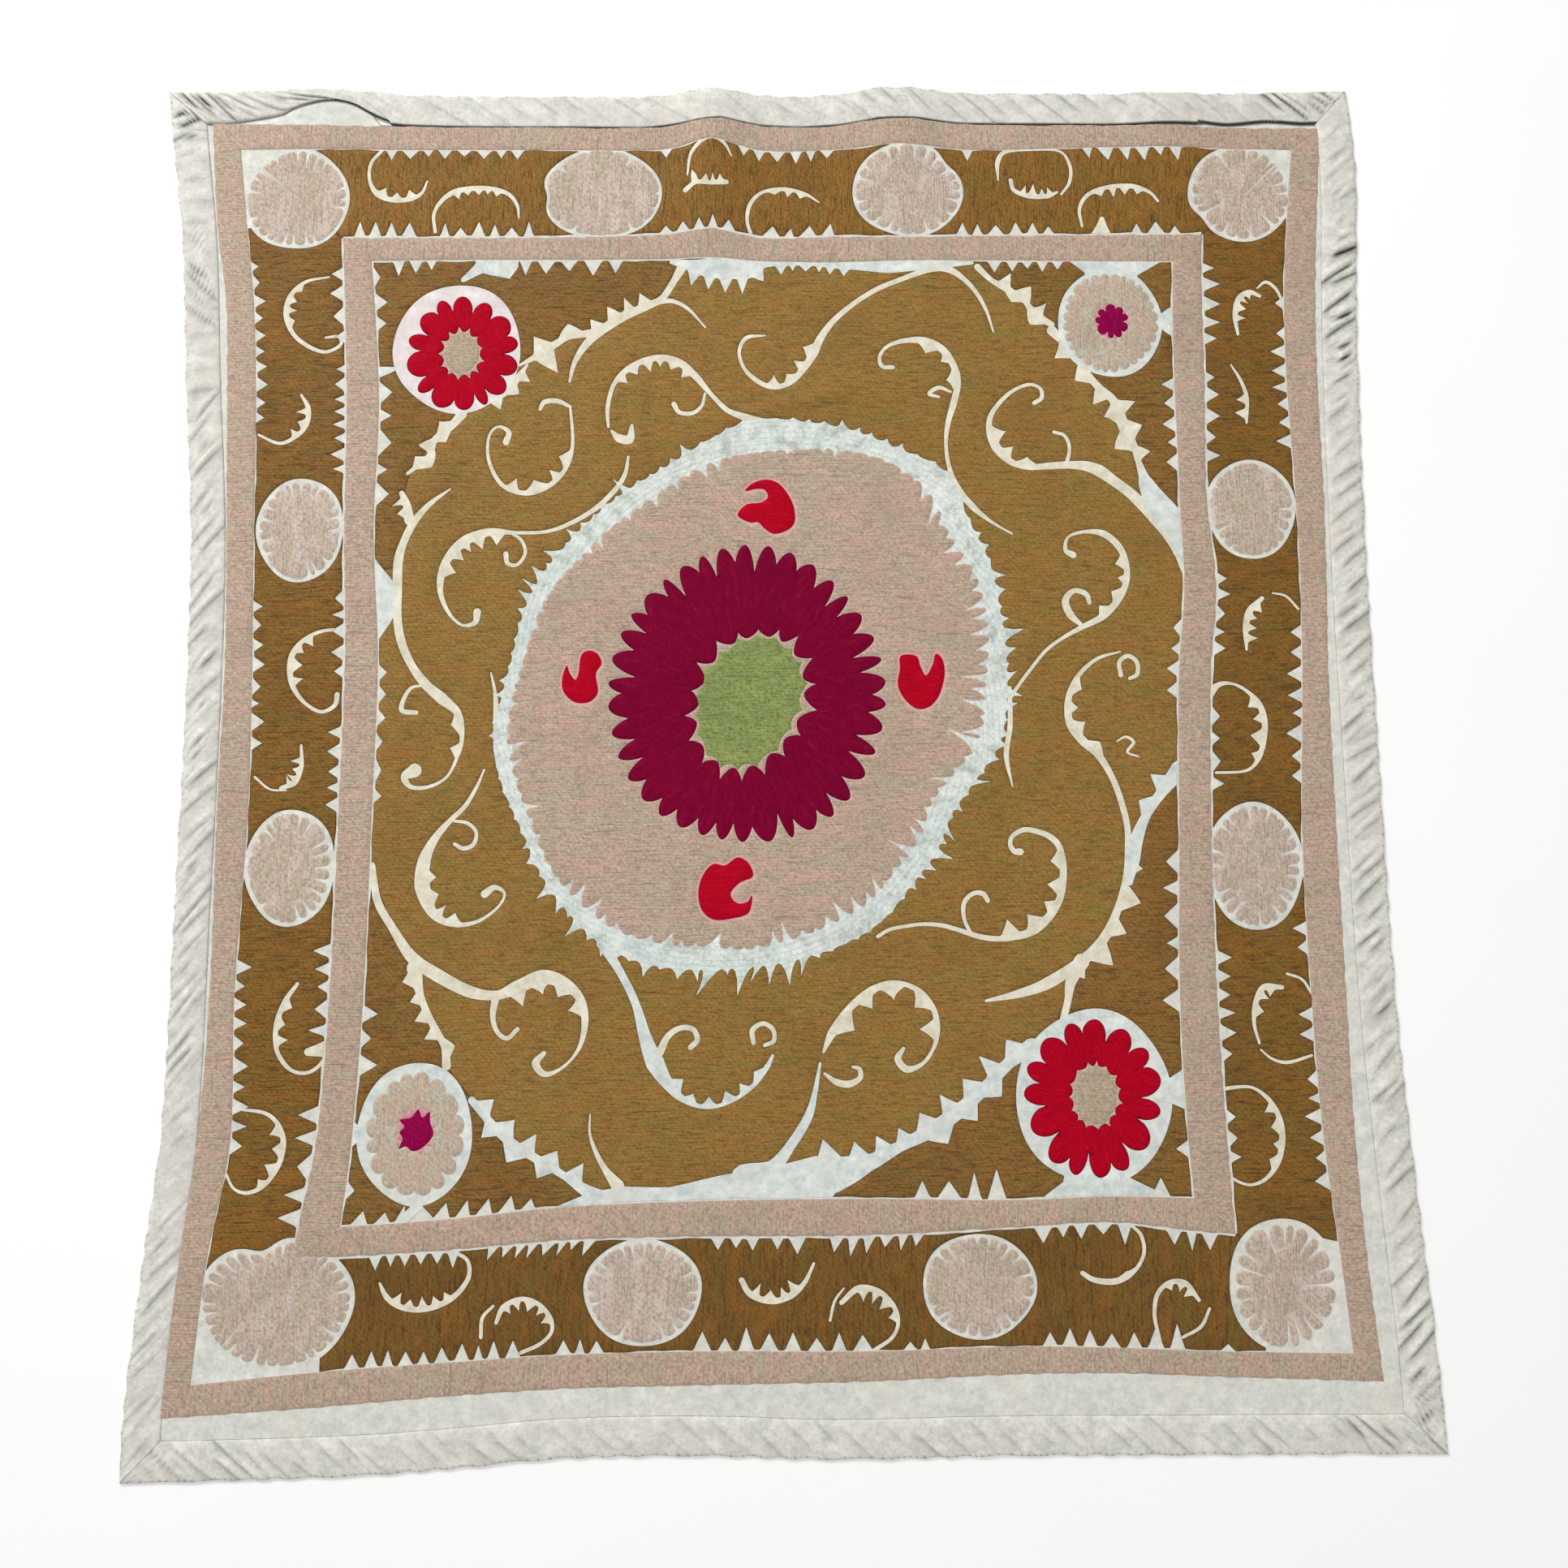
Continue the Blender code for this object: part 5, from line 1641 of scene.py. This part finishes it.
class TABLECLOTH_OT_bands(bpy.types.Operator):
    """Stitch the two pink bands, one piece for each side"""
    bl_idname = "tablecloth.bands"
    bl_label = "Pink Bands"

    def execute(self, context):
        sizes = context.scene.tablecloth_sizes
        shares = np.array([row[0] for row in BAND_PROFILE])
        heights = np.array([row[1] for row in BAND_PROFILE]) * sizes.thread_height
        for label, outer, inner in (("outer", OUTER_OUT, OUTER_IN), ("inner", INNER_OUT, INNER_IN)):
            for side in BAND_EDGES:
                (start_a, end_a), (start_b, end_b) = side_ends(side, outer), side_ends(side, inner)
                count = round((end_a - start_a) / 3.0)
                part = np.linspace(0, 1, count + 1)
                edge_a = on_edge(side, outer, start_a + (end_a - start_a) * part)
                edge_b = on_edge(side, inner, start_b + (end_b - start_b) * part)
                sway = 0.5 * np.sin(part * count * 0.9 + outer) * np.sin(part * count * 0.23)
                edge_a = edge_a + np.array(OUTWARD[side]) * sway[:, None]
                plan = (edge_a[:, None] * (1 - shares[:, None]) + edge_b[:, None] * shares[:, None]) * MM
                base = puckering(plan) + sizes.ground_thickness
                upper = raised(plan, base + heights)
                few = [0, len(shares) // 2, -1]
                lower = raised(plan[:, few], base[:, few] - 0.4 * MM)
                points, faces = closed_grid(upper, lower)
                finish = "Pink Level" if side in ("left", "right") else "Pink Upright"
                inner_share = np.clip(np.minimum(shares, 1 - shares) / 0.09, 0, 1)
                marks = np.concatenate((np.tile(inner_share, count + 1), np.zeros(lower.shape[0] * lower.shape[1])))
                piece = mesh_object(f"band_{label}_{side}", points, faces, bpy.data.materials[finish], marks)
                outwards(piece)
                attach(piece, "root")
        return {"FINISHED"}


def outwards(piece):
    """Turn a closed piece's faces outwards."""
    work = bmesh.new()
    work.from_mesh(piece.data)
    bmesh.ops.recalc_face_normals(work, faces=work.faces)
    work.to_mesh(piece.data)
    work.free()


class TABLECLOTH_OT_ground(bpy.types.Operator):
    """Make the ground cloth, with the bare stretches that puff up between the stitches"""
    bl_idname = "tablecloth.ground"
    bl_label = "Ground Cloth"

    def execute(self, context):
        sizes = context.scene.tablecloth_sizes
        inset_x, inset_y = (STRIP_WIDTH + SEAM_GAP) / WIDTH, (STRIP_WIDTH + SEAM_GAP) / LENGTH
        across = np.linspace(inset_x, 1 - inset_x, 141)[:, None]
        part = np.concatenate((np.linspace(0, 1, 150)[:-1], 1 - np.array((4.0, 2.4, 1.2, 0.0)) * MM / LENGTH))
        along = inset_y + (1 - 2 * inset_y + seam_rise(across) / LENGTH) * part[None, :]
        plan = on_cloth(across, along)
        upper = raised(plan, sizes.ground_thickness + puckering(plan))
        lower = raised(plan, np.zeros(plan.shape[:-1]))
        points, faces = closed_grid(upper, lower)
        # Painted shadow along the top seam: the ground's outermost rows are darkened through the strips' shade mark.
        shadow = np.clip((part - 1) * LENGTH / (2.4 * MM) + 1, 0, 1)
        marks = np.tile(shadow, 2 * len(across))
        base = mesh_object("ground_cloth", points, faces, bpy.data.materials["Ground Cotton"], marks, "shade_and_stitch_marks")
        outwards(base)
        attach(base, "root")
        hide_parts("ground_panel")
        return {"FINISHED"}


# Where the top seam bows outwards, in mm.
SEAM_RISES = (
    # x, how far beyond the seam's even line
    (-530, 1),
    (-510, 3),
    (-475, 8),
    (-462, 14),
    (-440, 20),
    (-420, 22),
    (-402, 18),
    (-390, 11),
    (-370, 3),
    (-345, 0),
    (345, 0),
    (370, 3),
    (400, 3),
    (430, 0),
    (455, 2),
    (470, 3),
    (500, 0),
)


def seam_rise(share):
    """How far the top seam bows outwards at shares of its length, in metres."""
    line, _ = curve(SEAM_RISES, step=5)
    x = on_side("top", share)[..., 0]
    return np.interp(x, line[:, 0] * MM, line[:, 1] * MM)


def strip_plan(side, share, depth):
    """Plan positions on an edge strip. depth runs from 0 at the outer edge to 1 at the seam."""
    inset_x, inset_y = STRIP_WIDTH / WIDTH * depth, STRIP_WIDTH / LENGTH * depth
    if side in ("left", "right"):
        end_gap = SEAM_GAP / LENGTH
        y = inset_y + end_gap + (1 - 2 * inset_y - 2 * end_gap) * share
        return on_cloth(inset_x if side == "left" else 1 - inset_x, y)
    x = inset_x + (1 - 2 * inset_x) * share
    if side == "bottom":
        return on_cloth(x, inset_y)
    return on_cloth(x, 1 - inset_y * (1 - seam_rise(x) / STRIP_WIDTH))


# Slanting creases of the edge strips, in mm along each side.
STRIP_CREASES = (
    # side, from, to, how many, strength, lean beyond the strip's own slant
    ("right", 600, 480, 7, 0.45, 0), ("right", 478, 345, 9, 1.25, 4), ("right", 345, 215, 7, 0.5, 0),
    ("right", 215, 120, 6, 0.7, 0), ("right", 120, 20, 5, 0.75, 0), ("right", 20, -160, 10, 0.6, 0),
    ("right", -160, -330, 9, 0.75, -6), ("right", -330, -470, 6, 0.6, -6), ("right", -470, -540, 4, 0.8, -8),
    ("right", -540, -620, 6, 1.0, -10),
    ("left", 620, 585, 5, 1.2, -20), ("left", 585, 500, 5, 0.4, -30), ("left", 500, 400, 6, 0.75, -64),
    ("left", 400, 330, 4, 0.5, -30), ("left", 330, 140, 10, 0.55, 6), ("left", 140, 20, 5, 0.7, 0),
    ("left", 20, -120, 7, 0.7, 0), ("left", -120, -320, 12, 0.6, 4), ("left", -320, -430, 4, 0.35, 0),
    ("left", -430, -620, 9, 0.5, 6),
    ("top", -575, -520, 8, 1.2, 0), ("top", -520, -440, 6, 0.8, 20), ("top", -440, -300, 4, 0.3, 30),
    ("top", -300, 60, 10, 0.35, 10), ("top", 60, 300, 10, 0.5, 0), ("top", 300, 480, 7, 0.45, 0),
    ("top", 480, 550, 6, 1.0, 0),
    ("bottom", -600, -440, 10, 0.5, 0), ("bottom", -440, -200, 11, 0.4, 0), ("bottom", -200, 60, 9, 0.3, 0),
    ("bottom", 60, 150, 3, 0.5, 0), ("bottom", 150, 330, 8, 0.35, 0), ("bottom", 330, 500, 7, 0.45, 0),
    ("bottom", 500, 580, 6, 1.0, 0),
)
STRIP_DEPTHS = (
    # share of the way from the outer edge to the seam, share of the strip's thickness there
    (0.0, 0.35), (0.015, 0.75), (0.05, 0.95), (0.11, 1.0), (0.18, 1.0), (0.26, 1.0), (0.35, 1.0), (0.45, 1.0),
    (0.55, 1.0), (0.65, 1.0), (0.75, 1.0), (0.84, 1.0), (0.91, 0.95), (0.96, 0.8), (1.0, 0.5),
)


def strip_creases(side, along, depth, seed):
    """How deep a strip's creases are, and how high the ridges beside them, at places along and across it."""
    rng = random.Random(f"{seed} {side}")
    valleys, ridges = np.zeros(depth.shape), np.zeros(depth.shape)
    for name, first, last, count, strength, lean in STRIP_CREASES:
        for k in range(3 * count if name == side else 0):
            fine = k >= count
            place = first + (last - first) * ((k + 0.5 + rng.uniform(-0.35, 0.35)) / count % 1)
            start, end = rng.uniform(-0.3, 0.3), rng.uniform(0.6, 1.2)
            own = strength * (rng.uniform(0.15, 0.45) if fine else rng.uniform(0.6, 1.15))
            slope = STRIP_SLANTS[side] / MM + lean + (rng.uniform(-16, 16) if fine else rng.uniform(-6, 6))
            away = along - place - slope * (depth - 0.5)
            wide = np.where(away > 0, rng.uniform(1.3, 2.0), rng.uniform(2.6, 5.0)) * (0.7 if fine else 1.0)
            fade = np.clip((depth - start) / 0.25, 0, 1) * np.clip((end - depth) / 0.25, 0, 1)
            valleys = np.maximum(valleys, own * np.exp(-np.abs(away) / wide) * fade)
            ridges = np.maximum(ridges, own * np.exp(-(((away - 5.0) / 3.2) ** 2)) * fade)
    return valleys, ridges


class TABLECLOTH_OT_strips(bpy.types.Operator):
    """Gather the four edge strips into slanting creases"""
    bl_idname = "tablecloth.strips"
    bl_label = "Edge Strips"

    def execute(self, context):
        sizes = context.scene.tablecloth_sizes
        depths, edge_height = np.array(STRIP_DEPTHS).T
        for side in STRIP_SLANTS:
            upright = side in ("left", "right")
            run = LENGTH if upright else WIDTH
            share = np.linspace(0, 1, round(run / 0.0013) + 1)
            fade = np.minimum(1.0, np.minimum(share, 1 - share) / SLANT_FADE)
            depth, along = np.meshgrid(depths, share)
            slant = STRIP_SLANTS[side] - STRIP_WIDTH * (1 - 2 * along)
            shifted = along + slant * (depth - 0.5) / run * fade[:, None]
            place = strip_plan(side, shifted, depth)[..., 1 if upright else 0] / MM
            valleys, ridges = strip_creases(side, place, depth, sizes.seed)
            ruffle = np.sin(place * 0.19 + 2 * np.sin(place * 0.043)) * (1 - depth) ** 3
            notch = 0.022 * (1 + ruffle) * (1 - depth) ** 4 * fade[:, None]
            plan = strip_plan(side, shifted, np.clip(depth + notch, 0, 1))
            across = np.sin(np.pi * (0.08 + 0.84 * depth)) ** 0.7
            swells = 0.5 + 0.5 * np.sin(place * 0.071 + 1.9 * np.sin(place * 0.013) + len(side))
            tall = sizes.crease_depth * across * (0.55 + 0.6 * ridges - 0.55 * valleys) + 0.6 * MM * swells * across
            upper = raised(plan, sizes.strip_thickness * edge_height + tall)
            few = [0, 5, 9, -1]
            lower = raised(plan[:, few], np.zeros((len(share), len(few))))
            points, faces = closed_grid(upper, lower)
            # Painted shade in the crease valleys and painted highlight on the ridges beside them, as a mark for the
            # strip's material.
            shadow = 0.95 * valleys - 0.5 * ridges * (1 - valleys)
            # Dark dashes of the hem stitches along the outer edge, darkened through the same mark.
            hem_stitches = np.sin(place * 0.9 + 3 * np.sin(place * 0.11)) > 0.85
            shadow = np.maximum(shadow, 0.6 * hem_stitches * np.clip((0.07 - depth) / 0.03, 0, 1))
            # Painted shadow along the top seam, under the strip's fold.
            if side == "top":
                shadow = np.maximum(shadow, np.clip((depth - 0.93) / 0.03, 0, 1) * np.clip((place + 480) / 60, 0.3, 1))
            marks = np.concatenate((shadow.ravel(), np.zeros(len(share) * len(few))))
            piece = mesh_object(f"strip_{side}", points, faces, bpy.data.materials["Strip Cotton"], marks, "shade_and_stitch_marks", 75.0)
            outwards(piece)
            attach(piece, "root")
            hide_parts(f"edge_strip_{side}")
        return {"FINISHED"}


def stitch_tree(material):
    """A node tree that sets running stitches along a line."""
    tree = bpy.data.node_groups.new("Running Stitches", "GeometryNodeTree")
    tree.interface.new_socket("Geometry", in_out="INPUT", socket_type="NodeSocketGeometry")
    inputs = {}
    for label, value in (("Pitch", 3.6 * MM), ("Stitch Length", 2.4 * MM), ("Thread Thickness", 0.9 * MM)):
        socket = tree.interface.new_socket(label, in_out="INPUT", socket_type="NodeSocketFloat")
        socket.default_value = value
        inputs[label] = socket.identifier
    tree.interface.new_socket("Geometry", in_out="OUTPUT", socket_type="NodeSocketGeometry")
    s = Shading(tree)
    given = s.node("NodeGroupInput").outputs
    line = s.node("GeometryNodeMeshToCurve", {"Mesh": given["Geometry"]}).outputs[0]
    points = s.node("GeometryNodeCurveToPoints", {"Curve": line, "Length": given["Pitch"]}, mode="LENGTH").outputs
    turned = s.node("FunctionNodeAlignRotationToVector", {"Vector": points["Tangent"]}, axis="X").outputs[0]
    sway = s.node("FunctionNodeRandomValue", {"Seed": 4}, data_type="FLOAT_VECTOR").outputs[0]
    sway = s.node("ShaderNodeVectorMath", {0: sway, 1: (0.5, 0.5, 0.5)}, operation="SUBTRACT").outputs[0]
    sway = s.node("ShaderNodeVectorMath", {0: sway, 1: (0.1, 0.15, 0.5)}, operation="MULTIPLY").outputs[0]
    turned = s.node("FunctionNodeRotateRotation", {0: turned, 1: sway}, rotation_space="LOCAL").outputs[0]
    bead = s.node("GeometryNodeMeshIcoSphere", {"Radius": 0.5, "Subdivisions": 1}).outputs[0]
    size = s.place(given["Stitch Length"], given["Thread Thickness"], given["Thread Thickness"])
    beads = s.node("GeometryNodeInstanceOnPoints",
                   {"Points": points["Points"], "Instance": bead, "Rotation": turned, "Scale": size}).outputs[0]
    joined = s.node("GeometryNodeRealizeInstances", {"Geometry": beads}).outputs[0]
    joined = s.node("GeometryNodeSetShadeSmooth", {"Geometry": joined}).outputs[0]
    finished = s.node("GeometryNodeSetMaterial", {"Geometry": joined, "Material": material}).outputs[0]
    out = s.node("NodeGroupOutput")
    tree.links.new(finished, out.inputs[0])
    return tree, inputs


class TABLECLOTH_OT_seams(bpy.types.Operator):
    """Sew the edge strips on with running stitches"""
    bl_idname = "tablecloth.seams"
    bl_label = "Seam Stitches"

    def execute(self, context):
        sizes = context.scene.tablecloth_sizes
        for side in STRIP_SLANTS:
            finish = "Dark Seam Thread" if side == "bottom" else "Seam Thread"
            material = bpy.data.materials[finish]
            tree, inputs = stitch_tree(material)
            first, last = SEAM_STITCHES[side]
            share = np.linspace(first, last, 300)
            plan = strip_plan(side, share, np.full(len(share), 0.955))
            points = raised(plan, sizes.strip_thickness + 0.1 * MM)
            mesh = bpy.data.meshes.new("seam_line")
            mesh.from_pydata([tuple(p) for p in points], [(i, i + 1) for i in range(len(points) - 1)], [])
            guide = bpy.data.objects.new("seam_line", mesh)
            context.scene.collection.objects.link(guide)
            maker = guide.modifiers.new("Running Stitches", "NODES")
            maker.node_group = tree
            maker[inputs["Pitch"]] = sizes.stitch_pitch * (1.7 if side == "bottom" else 1.0)
            context.view_layer.update()
            made = bpy.data.meshes.new_from_object(guide.evaluated_get(context.evaluated_depsgraph_get()))
            bpy.data.objects.remove(guide)
            if not made.materials:
                made.materials.append(material)
            piece = bpy.data.objects.new(f"seam_stitches_{side}", made)
            context.scene.collection.objects.link(piece)
            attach(piece, "root")
        return {"FINISHED"}


# The share of each seam over which its stitches show.
SEAM_STITCHES = {"left": (0.01, 0.99), "right": (0.01, 0.99), "top": (0.01, 0.99), "bottom": (0.04, 0.96)}

# Where the camera stands: above the cloth and a little towards its lower edge
CAMERA_AIM = (0.010, -0.0341, 0.0)
CAMERA_DISTANCE = 1.423
CAMERA_TILT = 7.3
LENS = 36.0
LIGHTS = (
    # name, position, size, power
    ("window", (-2.4, 3.0, 2.5), 1.4, 150.0),
    ("fill", (1.6, -1.6, 2.4), 2.4, 10.0),
    ("overhead", (0.0, 0.0, 3.0), 3.0, 20.0),
)


class TABLECLOTH_OT_stage(bpy.types.Operator):
    """Set the floor, the lights and the camera"""
    bl_idname = "tablecloth.stage"
    bl_label = "Stage"

    def execute(self, context):
        scene = context.scene
        half = 3.0
        floor = mesh_object("floor", [(-half, -half, 0), (half, -half, 0), (half, half, 0), (-half, half, 0)],
                            [(0, 1, 2, 3)], floor_material())
        floor.location.z = CAD_BOX[0][2] - 0.05 * MM
        for name, position, size, power in LIGHTS:
            data = bpy.data.lights.new(name, "AREA")
            data.shape = "SQUARE"
            data.size = size
            data.energy = power
            lamp = bpy.data.objects.new(name, data)
            lamp.location = position
            lamp.rotation_euler = (Vector((0, 0, 0)) - Vector(position)).to_track_quat("-Z", "Y").to_euler()
            scene.collection.objects.link(lamp)
        world = bpy.data.worlds.new("studio")
        world.use_nodes = True
        world.node_tree.nodes["Background"].inputs[0].default_value = (1.0, 1.0, 1.0, 1.0)
        world.node_tree.nodes["Background"].inputs[1].default_value = 0.45
        scene.world = world
        scene.view_settings.view_transform = "Standard"
        data = bpy.data.cameras.new("camera")
        data.lens = LENS
        data.sensor_width = LENS
        camera = bpy.data.objects.new("camera", data)
        tilt = math.radians(CAMERA_TILT)
        aim = Vector(CAMERA_AIM)
        camera.location = aim + CAMERA_DISTANCE * Vector((0, -math.sin(tilt), math.cos(tilt)))
        camera.rotation_euler = (tilt, 0, 0)
        scene.collection.objects.link(camera)
        scene.camera = camera
        return {"FINISHED"}


class TABLECLOTH_PT_panel(bpy.types.Panel):
    """Lists the steps that build the tablecloth"""
    bl_idname = "TABLECLOTH_PT_panel"
    bl_label = "Tablecloth"
    bl_space_type = "VIEW_3D"
    bl_region_type = "UI"
    bl_category = "Tablecloth"

    def draw(self, context):
        for group in (context.scene.tablecloth_sizes, context.scene.tablecloth_colours):
            for label in group.bl_rna.properties.keys():
                if label not in ("rna_type", "name"):
                    self.layout.prop(group, label)
        for step in STEPS:
            self.layout.operator(step.bl_idname)


STEPS = (
    TABLECLOTH_OT_finishes,
    TABLECLOTH_OT_field,
    TABLECLOTH_OT_border,
    TABLECLOTH_OT_bands,
    TABLECLOTH_OT_ground,
    TABLECLOTH_OT_strips,
    TABLECLOTH_OT_seams,
    TABLECLOTH_OT_stage,
)
CLASSES = (ClothSizes, ThreadColours, *STEPS, TABLECLOTH_PT_panel)


def register():
    for item in CLASSES:
        bpy.utils.register_class(item)
    bpy.types.Scene.tablecloth_sizes = PointerProperty(type=ClothSizes)
    bpy.types.Scene.tablecloth_colours = PointerProperty(type=ThreadColours)


def unregister():
    del bpy.types.Scene.tablecloth_sizes
    del bpy.types.Scene.tablecloth_colours
    for item in reversed(CLASSES):
        bpy.utils.unregister_class(item)


def main():
    register()
    for step in STEPS:
        group, name = step.bl_idname.split(".")
        getattr(getattr(bpy.ops, group), name)()


if __name__ == "__main__":
    main()
